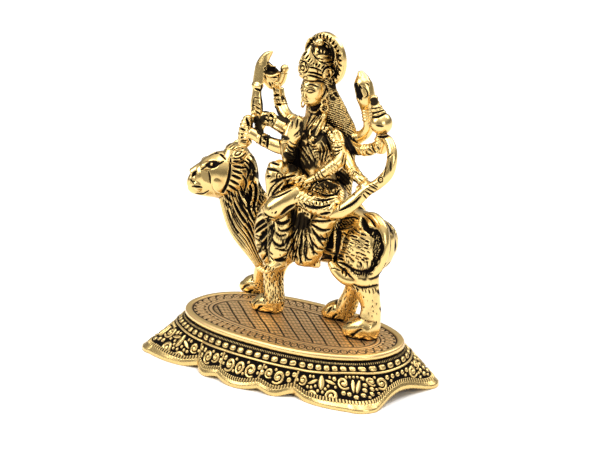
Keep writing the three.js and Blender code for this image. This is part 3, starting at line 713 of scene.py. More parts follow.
def bowed(start, end, bulge, share):
    """A straight stretch pushed out by the bulge times the sine of half a turn along it."""
    start, end = np.array(start, float), np.array(end, float)
    run = end - start
    out = np.array([run[1], -run[0]]) / np.linalg.norm(run)
    return start + run * share[:, None] + out * (bulge * np.sin(math.pi * share))[:, None]


def quarter_edge(count):
    """A quarter of the skirt's foot, from the middle of the +X end to the middle of the +Y side:
    rows of x, y, lift off the ground and turn round the platform. The stretches are half the
    hollow end, the rounded tip, the corner lobe, a side lobe and half the middle lobe."""
    s = np.arange(count) / count
    corner = np.array(TIP) - TIP_RADIUS
    angle = s * math.pi / 2
    start = corner + [TIP_RADIUS, 0]
    end = corner + [0, TIP_RADIUS]
    places = [
        bowed(start * [1, -1], start, -END_HOLLOW, 0.5 + s / 2),
        corner + TIP_RADIUS * np.stack([np.cos(angle), np.sin(angle)], 1),
        bowed(end, OUTER_NOTCH, LOBE_BULGE, s),
        bowed(OUTER_NOTCH, INNER_NOTCH, LOBE_BULGE, s),
        bowed(INNER_NOTCH, np.array(INNER_NOTCH) * [-1, 1], LOBE_BULGE, s / 2),
    ]
    lifts = [
        END_ARCH * np.cos(math.pi * s / 2) ** 1.5,
        0 * s,
        NOTCH_LIFT * np.clip(4 * s - 3, 0, None),
        NOTCH_LIFT * np.cos(math.pi * s) ** 2,
        NOTCH_LIFT * (1 - s) ** 2,
    ]
    turns = [a + (b - a) * s for a, b in zip(RIM_TURNS, RIM_TURNS[1:])]
    return np.concatenate(
        [np.column_stack([p, l, np.radians(t)]) for p, l, t in zip(places, lifts, turns)]
    )


def whole_edge(columns, sizes):
    """The foot all the way round, counter-clockwise from +X, at even steps along the middle of the
    skirt, with the distance along it measured from the middle of each end as a signed share."""
    lobe_top = bowed(INNER_NOTCH, np.array(INNER_NOTCH) * [-1, 1], LOBE_BULGE, np.array([0.5]))[0, 1]
    quarter = np.vstack([quarter_edge(200), [0, lobe_top, 0, math.pi / 2]])
    half = np.vstack([quarter, (quarter * [-1, 1, 1, -1] + [0, 0, 0, math.pi])[-2::-1]])
    whole = np.vstack([half, (half * [1, -1, 1, -1] + [0, 0, 0, ROUND])[-2::-1]])
    px, py = platform_edge(whole[:, 3], 0, sizes)
    middle = np.column_stack([(px + whole[:, 0]) / 2, (py + whole[:, 1]) / 2])
    length = np.concatenate([[0], np.cumsum(np.linalg.norm(np.diff(middle, axis=0), axis=1))])
    at = np.arange(columns) / columns * length[-1]
    rows = np.column_stack([np.interp(at, length, whole[:, k]) for k in range(4)])
    return rows, at, length[-1]


def stamp(height, s, d, path, radius):
    """Raises a rounded stroke over the grid: at a distance e from the path, less than the radius,
    the height is at least the square root of 1 minus the square of e over the radius."""
    path = np.asarray(path, float)
    radius = np.broadcast_to(radius, (len(path),)).astype(float)
    reach = radius.max()
    low = np.searchsorted(s[:, 0], path[:, 0].min() - reach)
    high = np.searchsorted(s[:, 0], path[:, 0].max() + reach)
    if high <= low:
        return
    x, y = s[low:high, :, None], d[low:high, :, None]
    a, b = path[:-1], path[1:]
    if len(path) == 1:
        a, b = path, path + 1e-6
    run = b - a
    share = ((x - a[:, 0]) * run[:, 0] + (y - a[:, 1]) * run[:, 1]) / np.maximum((run**2).sum(1), 1e-9)
    share = np.clip(share, 0, 1)
    gap = np.hypot(x - a[:, 0] - share * run[:, 0], y - a[:, 1] - share * run[:, 1])
    wide = radius[: len(a)] + share * (radius[-len(a):] - radius[: len(a)])
    raised = np.sqrt(np.clip(1 - (gap / wide) ** 2, 0, 1)).max(2)
    height[low:high] = np.maximum(height[low:high], raised)


def volute(place, size, hand, start, turns):
    """A spiral whose radius falls evenly from its size to a fifth of it."""
    u = np.linspace(0, 1, 26)
    angle = start + hand * ROUND * turns * u
    r = size * (1 - 0.82 * u)
    return np.column_stack([place[0] + r * np.cos(angle), place[1] + r * np.sin(angle)])


GROOVE = 2.1
BEADS = 3.2
LINE = 1.1
HATCH = 1.8
FOOT_RIM = 1.4


def skirt_scrolls(s, d, marks, floor):
    """Scrollwork between the line moulding and the hatched border: a bud over two facing volutes at
    the corner, rows of volutes elsewhere, and dots wherever a dot has room. s runs along the skirt
    from the middle of the end, d down it; floor(x) is the border's place at x."""
    height = np.zeros(s.shape)
    tip, outer, inner, middle = marks
    top = GROOVE + BEADS + LINE
    taken = []

    def stroke(path, radius):
        """Stamps a stroke and keeps its place."""
        path = np.asarray(path, float)
        stamp(height, s, d, path, radius)
        taken.append(np.column_stack([path, np.broadcast_to(radius, (len(path),))]))

    def room(x, y):
        """How far the nearest stroke or border is from a place."""
        marked = np.vstack(taken)
        away = np.hypot(x - marked[:, 0], y - marked[:, 1]) - marked[:, 2]
        return min(away.min(), min(floor(x) - y, y - top) - 0.1)

    def curl(x, y, size, hand, start):
        stroke(volute((x, y), size - 0.55, hand, start, 1.2), np.linspace(0.42, 1.02, 26) * size / 3.4)

    def leaf(x, y, length, angle, width):
        u = np.linspace(0, 1, 10)
        path = np.column_stack([x + length * u * math.cos(angle), y + length * u * math.sin(angle)])
        stroke(path, width * np.sin(math.pi * (0.15 + 0.8 * u)) ** 0.8)

    bud = 0.5 * (tip + outer) + 1.5
    leaf(bud, top + 1.4, 4.6, math.pi / 2, 1.7)
    for hand in (-1, 1):
        curl(bud + 4.6 * hand, top + 9.2, 3.5, hand, math.pi / 2 * (1 + hand) - hand)
        leaf(bud + 2.4 * hand, top + 2.6, 4.4, math.pi / 2 - 1.2 * hand, 0.8)
        leaf(bud + 1.8 * hand, top + 13.6, 3.2, math.pi / 2 - 0.9 * hand, 0.8)
    leaf(tip - 2, top + 3.4, 6, 1.1, 1.0)
    leaf(tip + 0.8, top + 3, 5.6, 1.35, 1.0)
    for x in (outer + 0.2, inner + 0.2):
        stroke([(x - 0.5, top + 0.5), (x + 0.5, top + 9)], 0.4)
    hand = 1
    for y, size, begin in ((top + 3.9, 3.5, 3.9), (top + 3.1, 2.7, 3.2), (top + 10.6, 3.2, 1.2)):
        for x in np.arange(begin, middle + 3, 1.1):
            if room(x, y) > size - 0.1:
                curl(x, y, size, hand, 0.9 if hand > 0 else 2.2)
                hand = -hand
    for size, pitch in ((1.15, 0.8), (0.72, 0.6)):
        for y in np.arange(top + size, top + 20, pitch):
            for x in np.arange(0.4 * (y % 1), middle + 2, pitch):
                if room(x, y) > size + 0.24:
                    stroke([(x, y), (x + 0.02, y)], size)
    return height


def skirt_surface(sizes, columns, rows_each, bands):
    """Rulings from the platform's edge down to the foot, over the given bands, with relief as a
    height along the ruled surface's normal: rows of points, their patina, and the foot's places."""
    edge, along, whole = whole_edge(columns, sizes)
    x1, y1, lift, turn = edge.T
    x0, y0 = platform_edge(turn, 0.15, sizes)
    top = np.column_stack([x0, y0, np.full(columns, PLATFORM_TOP - RIM_HEIGHT)])
    foot = np.column_stack([x1, y1, lift + LIP])
    slope = np.linalg.norm(foot - top, axis=1)

    rim = FOOT_RIM + 2.4 * np.clip((slope - 19) / 9, 0, 1)
    fixed = np.cumsum([0, GROOVE, BEADS, LINE])
    knots = np.column_stack([*np.broadcast_to(fixed[:, None], (4, columns)), slope - HATCH - rim, slope - rim, slope])
    d = [
        knots[:, [k]] + (knots[:, [k + 1]] - knots[:, [k]]) * (np.arange(n) / n)
        for k, n in zip(bands, rows_each)
    ]
    d = np.concatenate([*d, knots[:, [bands[-1] + 1]]], 1)
    s = np.broadcast_to(along[:, None], d.shape)
    quarter = whole / 4
    folded = quarter - np.abs(quarter - s % (2 * quarter))
    height = sizes.relief / MM
    lift_of, recess = np.zeros(d.shape), np.zeros(d.shape)

    def add(inside, raised, dark):
        lift_of[inside], recess[inside] = raised[inside], dark[inside]

    ticks = 0.5 + 0.5 * np.cos(ROUND * s / (whole / round(whole / 1.0))) * bump(d - 1.35, 0.75)
    add(d < GROOVE, 0.3 * ticks - 0.55, 1 - step_up(ticks, 0.6, 0.9))

    pitch = whole / round(whole / (sizes.bead_pitch / MM))
    across = np.abs((s / pitch) % 1 - 0.5) / 0.37
    down = np.abs(d - GROOVE - BEADS / 2) / (0.4 * BEADS)
    bead = np.sqrt(np.clip(1 - across**2.8 - down**2.8, 0, 1))
    from_line = d - GROOVE - BEADS
    add((d >= GROOVE) & (from_line < 0), height * (bead - 0.75), 1 - step_up(bead, 0.3, 0.6))

    line = np.sin(math.pi * np.clip(from_line / LINE, 0, 1))
    add((from_line >= 0) & (from_line < LINE), 0.45 * line, 1 - step_up(line, 0.3, 0.6))

    if bands[-1] > 3:
        first = columns // 4 + 2
        turn_at = lambda degrees: np.interp(np.radians(degrees), turn[:first], along[:first])
        marks = (turn_at(36), turn_at(RIM_TURNS[3]), turn_at(RIM_TURNS[4]), quarter)
        floor = lambda x: np.interp(x, along[:first], knots[:first, 4])
        part = skirt_scrolls(folded[:first], d[:first], marks, floor)
        scrolls = part[np.abs(np.round(folded[:, 0] / whole * columns)).astype(int)]
        in_panel = (from_line >= LINE) & (d < knots[:, [4]])
        add(in_panel, height * (scrolls - 0.6), 1 - step_up(scrolls, 0.4, 0.7))
        strokes = 0.5 + 0.5 * np.cos(ROUND * s / (whole / round(whole / 1.3)))
        add((d >= knots[:, [4]]) & (d < knots[:, [5]]), 0.45 * (strokes - 0.6), step_up(1 - strokes, 0.45, 0.75))

    share = (d / slope[:, None])[..., None]
    surface = top[:, None] * (1 - share) + foot[:, None] * share
    tangent = unit(np.roll(foot + top, -1, 0) - np.roll(foot + top, 1, 0))
    normal = unit(np.cross(unit(foot - top), tangent))[:, None]
    surface = surface + normal * lift_of[..., None]
    return surface.transpose(1, 0, 2), recess.T, normal[:, 0], edge


def ring_of(rows, values):
    """A closed ring over rows of points, the last of them joined to the first."""
    faces = grid_triangles(len(rows), rows.shape[1], wrap_rows=True)[:, ::-1]
    values = np.concatenate([values, np.zeros((len(rows) - len(values), rows.shape[1]))])
    return rows.reshape(-1, 3), faces, values.ravel()


def plinth_moulding(sizes):
    """The groove, the beads and the line under the platform, closed by two rows behind them."""
    rows, values, normal, _ = skirt_surface(sizes, 1700, (8, 14, 6), (0, 1, 2))
    behind = np.array([rows[-1] - normal * 1.2, rows[0] - normal * 1.2])
    return ring_of(np.concatenate([rows, behind]), values)


def plinth_skirt(sizes):
    """The scrollwork, the hatched border and the foot, then under the lip and up the inner wall."""
    rows, values, _, edge = skirt_surface(sizes, 1480, (46, 8, 5), (3, 4, 5))
    x1, y1, lift, turn = edge.T
    x0, y0 = platform_edge(turn, 0.15, sizes)
    inner_foot = np.column_stack([x1, y1]) - unit(np.column_stack([x1 - x0, y1 - y0])) * WALL
    lower = [
        np.column_stack([x1, y1, lift + LIP * 0.5]),
        np.column_stack([x1, y1, lift]),
        np.column_stack([inner_foot, lift]),
    ]
    inner_top = np.column_stack([*platform_edge(turn, WALL * 1.4, sizes), np.full(len(x1), PLATFORM_TOP - WALL)])
    walls = [lower[-1] * (1 - k) + inner_top * k for k in (0.3, 0.65, 1.0)]
    return ring_of(np.concatenate([rows, np.array(lower), np.array(walls)]), values)


def plinth_platform(sizes):
    """Rings from the middle of the oval out over its rim, down its edge and back under it. Towards
    the middle the inner oval shrinks evenly; in the band each mark is a circle whose height falls
    as the bump of the distance from its line."""
    columns = 1080
    turn = np.arange(columns) / columns * ROUND
    field = np.array([FIELD_INSET] * 28)
    share = np.concatenate([np.linspace(0.01, 1, 28, endpoint=False), np.ones(57)])
    inset = np.concatenate(
        [
            field,
            np.linspace(FIELD_INSET, BAND_INSET, 10, endpoint=False),
            np.linspace(BAND_INSET, RIM_INSET, 34, endpoint=False),
            np.linspace(RIM_INSET, EDGE_BEVEL, 6),
            [EDGE_BEVEL * 0.35, 0, 0, 0, 0.5, 6, 18],
        ]
    )
    drop = np.zeros(len(inset))
    drop[-7:] = 0.12, EDGE_BEVEL, 1.2, RIM_HEIGHT - 0.2, RIM_HEIGHT, WALL, WALL
    x, y = (np.array(v) for v in zip(*(platform_edge(turn, value, sizes) for value in inset)))
    x = PLATFORM_SHIFT[0] + (x - PLATFORM_SHIFT[0]) * share[:, None]
    y = PLATFORM_SHIFT[1] + (y - PLATFORM_SHIFT[1]) * share[:, None]

    mid = np.stack(platform_edge(turn, (BAND_INSET + RIM_INSET) / 2, sizes), 1)
    length = np.cumsum(np.linalg.norm(mid - np.roll(mid, 1, 0), axis=1))
    pitch = length[-1] / round(length[-1] / CIRCLE_PITCH)
    along = (length / pitch % 1 - 0.5) * pitch
    away = np.hypot(along / 1.7, ((inset - (BAND_INSET + RIM_INSET) / 2) / 2.6)[:, None])
    between = np.hypot(np.abs(along) - pitch / 2, (inset - BAND_INSET + 1.4)[:, None])
    circles = bump(away - 0.9, 0.26) + bump(away, 0.34) + bump(between, 0.55)
    lines = sum(bump(inset - at, 0.5) for at in (FIELD_INSET - 0.3, BAND_INSET + 0.4, RIM_INSET + 0.3))[:, None]
    marks = np.where((drop == 0)[:, None] & (share == 1)[:, None], np.maximum(circles, lines), 0)
    drop[(inset < RIM_INSET - 0.2) & (drop == 0)] = -LIP_RISE
    rows = np.stack([x, y, PLATFORM_TOP - drop[:, None] - 0.32 * marks], -1)
    points, faces = capped(rows)
    return points, faces, np.concatenate([np.clip(marks * 2, 0, 1).ravel(), [0, 0]])


# Meshes


def make_object(name, points, faces, values=None):
    """A mesh object from arrays in millimetres, with its place in its mesh."""
    mesh = bpy.data.meshes.new(name)
    mesh.vertices.add(len(points))
    mesh.vertices.foreach_set("co", (points * MM).astype(np.float32).ravel())
    mesh.loops.add(len(faces) * 3)
    mesh.loops.foreach_set("vertex_index", faces.astype(np.int32).ravel())
    mesh.polygons.add(len(faces))
    mesh.polygons.foreach_set("loop_start", np.arange(0, len(faces) * 3, 3, dtype=np.int32))
    mesh.polygons.foreach_set("use_smooth", np.ones(len(faces), bool))
    mesh.update(calc_edges=True)
    mesh.validate()
    if values is not None:
        store(mesh, "patina", values)
    piece = bpy.data.objects.new(name, mesh)
    bpy.context.scene.collection.objects.link(piece)
    return piece


def applied(piece, kind, **settings):
    """Adds one modifier, sets it and makes its result the piece's own mesh."""
    modifier = piece.modifiers.new(kind.title(), kind)
    for key, value in settings.items():
        setattr(modifier, key, value)
    result = bpy.data.meshes.new_from_object(piece.evaluated_get(bpy.context.evaluated_depsgraph_get()))
    old = piece.data
    piece.modifiers.clear()
    piece.data = result
    bpy.data.meshes.remove(old)
    return result


def read(items, key, kind=np.float32, width=3):
    """One property of all of a mesh's vertices, edges or triangles, as rows."""
    values = np.empty(len(items) * width, kind)
    items.foreach_get(key, values)
    return values.reshape(-1, width)


def points_of(mesh):
    """The places of a mesh's points, in metres."""
    return read(mesh.vertices, "co").astype(float)


def move(mesh, points):
    """Puts a mesh's points at new places."""
    mesh.vertices.foreach_set("co", points.astype(np.float32).ravel())
    mesh.update()


def store(mesh, name, values):
    """Writes one number for each point of a mesh."""
    attribute = mesh.attributes.get(name) or mesh.attributes.new(name, "FLOAT", "POINT")
    attribute.data.foreach_set("value", np.asarray(values, np.float32))


def stored(mesh, name):
    """The numbers of a mesh's points, noughts where nothing was written."""
    values = np.zeros(len(mesh.vertices), np.float32)
    if name in mesh.attributes:
        mesh.attributes[name].data.foreach_get("value", values)
    return values


def smoothed(mesh, rounds):
    """Where the points come to, half way to the mean of their neighbours in each round."""
    a, b = read(mesh.edges, "vertices", np.int32, 2).T
    count = len(mesh.vertices)
    degree = np.maximum(np.bincount(a, minlength=count) + np.bincount(b, minlength=count), 1)[:, None]
    co = points_of(mesh)
    for _ in range(rounds):
        total = np.column_stack(
            [np.bincount(a, co[b, k], count) + np.bincount(b, co[a, k], count) for k in range(3)]
        )
        co = co + 0.5 * (total / degree - co)
    return co


MOST_TRIANGLES = 195000
CALMING_ROUNDS = 2


def cast(name, parts, cell=None):
    """Joins closed surfaces into one piece. With a cell size in millimetres they are fused into one
    skin on that grid and smoothed. A piece of too many triangles is thinned to the most allowed."""
    parts = parts if isinstance(parts, list) else [parts]
    offsets = np.cumsum([0] + [len(p) for p, _ in parts])
    points = np.vstack([p for p, _ in parts]) + [0, 0, PLATFORM_TOP]
    faces = np.vstack([f + o for (_, f), o in zip(parts, offsets)])
    piece = make_object(name, points, faces)
    if cell:
        size = cell * MM * 1
        applied(piece, "REMESH", mode="VOXEL", voxel_size=size, use_smooth_shade=True)
        move(piece.data, smoothed(piece.data, CALMING_ROUNDS))
    count = 2 * len(piece.data.polygons) if cell else len(piece.data.polygons)
    if count > MOST_TRIANGLES:
        applied(piece, "DECIMATE", ratio=MOST_TRIANGLES / count)
    piece.data.shade_smooth()
    return piece


# Chasing: strokes that a chaser's tool leaves in the metal, and shade strokes that paint shade on it.
# They are drawn on sheets laid over a view of the figure, and each reaches the first surface that
# it meets.

CAMERA_AZIMUTH = math.radians(41)
CAMERA_ELEVATION = math.radians(17)
CAMERA_DISTANCE = 1500
CAMERA_TARGET = np.array([6.9, 0, 66.4])
CAMERA_LENS = 207.6
VIEW_SIZE = (600, 450)
VIEW_SCALE = CAMERA_LENS / 36 * VIEW_SIZE[0]


def view_axes():
    """The view's directions to the right, up and back."""
    ca, sa = math.cos(CAMERA_AZIMUTH), math.sin(CAMERA_AZIMUTH)
    ce, se = math.cos(CAMERA_ELEVATION), math.sin(CAMERA_ELEVATION)
    return np.array([[ca, sa, 0], [-se * sa, se * ca, ce], [ce * sa, -ce * ca, se]])


def main_view(points, normals):
    """Places across and down the main view, distance from it and facing, for points in millimetres."""
    axes = view_axes()
    seen = (points - CAMERA_TARGET) @ axes.T
    away = CAMERA_DISTANCE - seen[:, 2]
    across = VIEW_SIZE[0] / 2 + VIEW_SCALE * seen[:, 0] / away
    down = VIEW_SIZE[1] / 2 - VIEW_SCALE * seen[:, 1] / away
    return across, down, away, normals @ axes[2]


def far_view(points, normals):
    """The main view of the lion mirrored in its own middle plane."""
    return main_view(points * [1, -1, 1] + [0, 2 * LION_Y, 0], normals * [1, -1, 1])


def head_far_view(points, normals):
    """The main view of the lion's head mirrored in the head's own middle plane."""
    side = np.array([*HEAD_SIDE, 0])
    over = ((points[:, :2] - NECK) @ side[:2])[:, None]
    return main_view(points - 2 * over * side, normals - 2 * (normals @ side)[:, None] * side)


def rear_view(points, normals):
    """Straight at the figure's back, in millimetres across and down from the platform."""
    return points[:, 0], PLATFORM_TOP - points[:, 2], -points[:, 1], normals[:, 1]


def crown_far_view(points, normals):
    """The main view of the goddess's head mirrored from her left side to her right."""
    flip = np.array([-1, 1, 1])
    across, down, away, facing = main_view(points * flip + [2 * HEAD[0] + 0.4, 0, 0], normals * flip)
    return across, down, away, np.where(points[:, 0] < HEAD[0] - 1.5, facing, -1)


def face_view(points, normals):
    """Straight at the goddess's face, in millimetres from the middle of her head."""
    place = points - HEAD - [0, 0, PLATFORM_TOP]
    return place[:, 0], -place[:, 2], place[:, 1], -normals[:, 1]


def crest_view(points, normals):
    """Straight at the crest's front, in millimetres, with nothing before it."""
    place = points - [0, 0, PLATFORM_TOP]
    return place[:, 0], -place[:, 2], place[:, 1], np.where(place[:, 1] > 13.4, -normals[:, 1], -1)


def crest_back(points, normals):
    """Straight at the crest's back."""
    place = points - [0, 0, PLATFORM_TOP]
    return place[:, 0], -place[:, 2], -place[:, 1], np.where(place[:, 1] > 13.4, normals[:, 1], -1)


# A sheet: the place of its corner in the view, and how many of its units make one step of the view
HEAD_SHEET = ((120, 130), 9.22)
NECK_SHEET = ((225, 140), 17.42)
SHOULDER_SHEET = ((240, 200), 19.6)
HAUNCH_SHEET = ((315, 205), 15.68)
FLANK_SHEET = ((225, 205), 13.07)
PAWS_SHEET = ((240, 270), 9.8)
LAP_SHEET = ((245, 215), 15.68)
HEM_SHEET = ((260, 165), 8)
GIRDLE_SHEET = ((250, 90), 6)
BODY_SHEET = ((250, 90), 12.06)
TORSO_SHEET = ((262, 95), 16.5)
CHEST_SHEET = ((285, 105), 15)
ARMS_SHEET = ((235, 45), 14.94)
ARMLET_SHEET = ((230, 45), 8)
RIGHT_SHEET = ((235, 60), 13.64)
LEFT_SHEET = ((335, 80), 10.81)
CROWN_SHEET = ((285, 28), 21.8)
TIARA_SHEET = ((290, 30), 18.45)
PLAIN_SHEET = ((0, 0), 1)


def chase(
    piece, sheet, cuts=(), raised=(), shades=(), dust_and_shade=(), depth=0.5, reach=7.0, bold=1.2, shade_strength=0.97, view=main_view
):
    """Works strokes into a piece. A stroke is a radius and a path of x, y on the sheet; along it, a
    point at e radii from the path sinks by (1 - e^2) times the depth and darkens. Raised strokes
    stand out and stay bright. Shades do not sink: they paint shade, as strong as the strength given.
    Dust strokes lay a mottled dark that is partly patina and partly painted shade. A stroke goes no
    deeper than the reach behind the nearest point that it meets."""
    mesh = piece.data
    corner, scale = sheet
    points, normals = points_of(mesh) / MM, read(mesh.vertices, "normal").astype(float)
    across, down, away, facing = view(points, normals)
    ink, grain_and_shade = stored(mesh, "ink"), stored(mesh, "grain_and_shade")
    sink = np.zeros(len(points))
    front = np.nonzero(facing > 0.05)[0]
    x, y = across[front], down[front]
    for kind, strokes in (("cut", cuts), ("shade", shades), ("dust_and_shade", dust_and_shade), ("raised", raised)):
        for stroke in strokes:
            radius = bold * stroke[0] / scale
            path = np.array(stroke[1:], float).reshape(-1, 2) / scale + corner
            if len(path) == 1:
                path = np.vstack([path, path + 1e-3])
            elif len(path) > 2:
                path = smooth_curve(path, np.linspace(0, 1, 5 * (len(path) - 1) + 1))
            low, high = path.min(0) - radius, path.max(0) + radius
            near = np.nonzero((x > low[0]) & (x < high[0]) & (y > low[1]) & (y < high[1]))[0]
            if not len(near):
                continue
            at = np.column_stack([x[near], y[near]])[:, None]
            a, run = path[:-1], np.diff(path, axis=0)
            share = np.clip(((at - a) * run).sum(2) / np.maximum((run**2).sum(1), 1e-9), 0, 1)
            gap = np.linalg.norm(at - a - share[..., None] * run, axis=2)
            best = gap.argmin(1)
            rows = np.arange(len(near))
            along = (best + share[rows, best]) / len(run)
            tip = 1.0 if len(run) == 1 and np.linalg.norm(run) < 0.01 else 0.45
            wide = radius * (tip + (1 - tip) * np.sin(math.pi * along) ** 0.6)
            inside = 1 - (gap[rows, best] / wide) ** 2
            hit = inside > 0
            if not hit.any():
                continue
            index, inside = front[near[hit]], inside[hit]
            keep = away[index] < away[index].min() + reach
            index, inside = index[keep], inside[keep]
            dark = step_up(inside, 0.0, 0.45)
            if kind == "raised":
                sink[index] = np.minimum(sink[index], -inside)
                ink[index] *= 1 - dark
                grain_and_shade[index] *= 1 - dark
            # Mottled dark, partly patina and partly painted shade.
            elif kind == "dust_and_shade":
                grain_and_shade[index] = np.maximum(grain_and_shade[index], dark)
            else:
                # Cuts blacken the metal with patina; shades paint shade into the same ink, at their strength.
                ink[index] = np.maximum(ink[index], dark if kind == "cut" else shade_strength * dark)
            if kind == "cut":
                sink[index] = np.maximum(sink[index], inside)
    points -= normals * (sink * depth)[:, None]
    move(mesh, points * MM)
    store(mesh, "ink", ink)
    store(mesh, "grain_and_shade", grain_and_shade)


def dashes(seed, count, box, length, slant, radius):
    """Short strokes scattered evenly over a box of a sheet, all with nearly the same slant."""
    rng = np.random.default_rng(seed)
    x0, y0, x1, y1 = box
    rows = []
    for k in range(count):
        x = x0 + (x1 - x0) * ((k * 0.618 + 0.2 * rng.random()) % 1)
        y = y0 + (y1 - y0) * (k + rng.random()) / count
        size = length * (0.7 + 0.6 * rng.random())
        angle = slant + 0.25 * (rng.random() - 0.5)
        dx, dy = size * math.cos(angle) / 2, size * math.sin(angle) / 2
        rows.append((radius, x - dx, y - dy, x + dx, y + dy))
    return rows


def ring(radius, x, y, size):
    """A stroke round a circle."""
    a = np.linspace(0, ROUND, 13)
    return (radius, *np.column_stack([x + size * np.cos(a), y + size * np.sin(a)]).ravel())


RUFF_STROKES = [
    (13,1045,290,1140,302), (13,1045,330,1140,352), (13,1040,372,1125,402), (13,1030,415,1115,450),
    (12,1015,460,1095,505), (12,1000,508,1080,560), (12,985,556,1060,615), (12,968,600,1035,668),
    (11,950,640,1000,715), (11,1150,318,1186,380,1172,450), (11,1196,300,1236,390,1222,480),
    (11,1132,420,1166,480,1150,560), (11,1110,520,1150,600,1205,700), (11,1080,600,1120,690,1180,790),
    (11,1050,670,1090,750,1150,850), (12,1215,480,1190,640,1215,760,1245,860),
    (12,1250,500,1245,640,1250,740,1275,820), (10,1020,700,1060,800,1120,900), (10,985,740,1030,850,1090,960),
    (10,1280,420,1290,520,1285,620), (9,1310,480,1320,560,1316,640), (9,1170,560,1180,640,1215,700),
    (10,1255,300,1275,350,1268,410), (11,1200,230,1250,270,1290,330), (11,1170,262,1218,306,1250,370),
    (10,1110,265,1150,290), (10,1160,290,1200,340,1200,400),
]


def chase_lion_head(piece):
    """Brow, nose, whiskers, mouth and ruff, alike on both sides."""
    for view in (main_view, head_far_view):
        # The shades paint shade on the cheek under the eye and by the nostril, at a lighter strength.
        chase(
            piece, HEAD_SHEET,
            cuts=[
                (11,815,228,858,206,908,212), (13,922,220,950,240,972,270), (36,800,324,850,318,905,308),
                (9,745,368,780,345,810,330), (9,900,320,955,288), (16,664,425,690,395,705,380),
                (8,650,455,668,480,690,470), (9,815,380,826,430,832,490), (12,666,520,710,522,755,530),
                (7,700,585,760,590,820,560), (14,1018,262,1012,380,992,480,952,570,895,652), (9,1003,180,1020,118),
                (9,1030,178,1055,130), (8,1055,172,1090,135),
            ],
            raised=[(13, 846, 316)], shades=[(38,770,400,800,440,815,470), (22,665,440,668,470)], depth=0.6,
            shade_strength=0.55, view=view,
        )
        chase(piece, HEAD_SHEET, cuts=RUFF_STROKES, depth=0.6, bold=1.3, view=view)
    chase_ruff_top(piece)


def chase_ruff_top(piece):
    """The ear and the shadowed mane and shoulder behind it."""
    chase(piece, NECK_SHEET, cuts=[
        (12,165,262,190,215,240,190,305,195), (13,165,268,230,262,300,205), (17,130,318,200,322,290,290,365,225),
        (9,110,250,160,180,240,140,320,150,380,200), (11,20,120,90,60), (11,60,150,150,70), (11,110,170,190,100),
        (11,150,40,300,60,440,90), (12,330,360,400,400), (12,310,460,380,500),
        (24,430,790,455,900,440,1050,400,1150,440,1280,500,1400), (24,490,730,540,850,545,1000,505,1130,480,1250),
        (13,290,880,350,950,380,1030), (15,390,1390,430,1480,470,1560),
    ], shades=[(40,480,560,560,620,640,680), (34,600,600,700,640), (30,460,620,450,700)], dust_and_shade=[
        (90,400,330,360,500,340,700), (60,420,560,380,780), (80,620,720,640,900,610,1100,590,1230),
        (60,580,1230,560,1400,540,1520), (60,130,60,300,40,420,60),
    ], raised=[
        (14,140,285,210,295,290,262,340,215), (13,120,235,180,180,260,158,350,190),
        (12,460,760,490,880,480,1020,450,1130,470,1240,520,1340), (12,530,720,575,860,570,1000,540,1150,560,1280),
    ], reach=9)


def chase_mane(piece):
    """The ruff's locks carried on into the mane."""
    chase(piece, HEAD_SHEET, RUFF_STROKES, bold=1.3, view=head_far_view)
    chase(piece, HEAD_SHEET, RUFF_STROKES, shades=dashes(3, 60, (1255, 470, 1340, 720), 14, 1.1, 6), bold=1.3)
    chase_ruff_top(piece)


DRAPE_STROKES = [
    (26,400,78,300,92,220,140,160,195), (18,425,112,330,162,250,212,165,275), (32,455,160,370,225,290,305,225,385),
    (20,440,235,380,335,290,455,190,615), (11,400,335,350,425,300,505), (10,130,335,240,432,330,522,380,605),
    (12,310,520,360,640,390,750), (14,150,620,200,690,250,765), (11,250,742,330,642,392,560),
]
SHOULDER = dict(sheet=SHOULDER_SHEET, cuts=[
    (20,340,330,420,280,510,310), (24,570,350,440,410,330,490,290,570), (20,610,400,480,490,350,590,310,640),
    (34,650,480,530,640,400,790), (14,560,560,470,610,400,660), (26,640,620,560,750,460,850,330,895),
    (20,610,740,560,860,470,960,340,1050), (18,275,660,280,860,330,1060), (18,590,880,545,1000,500,1100,430,1200),
    (12,300,690,420,740), (12,330,930,400,980), (10,470,1000,520,1040), (14,350,1080,380,1180,420,1250),
], dust_and_shade=[(70,400,120,340,230,300,300), (40,420,300,380,400)], depth=0.6, reach=34)


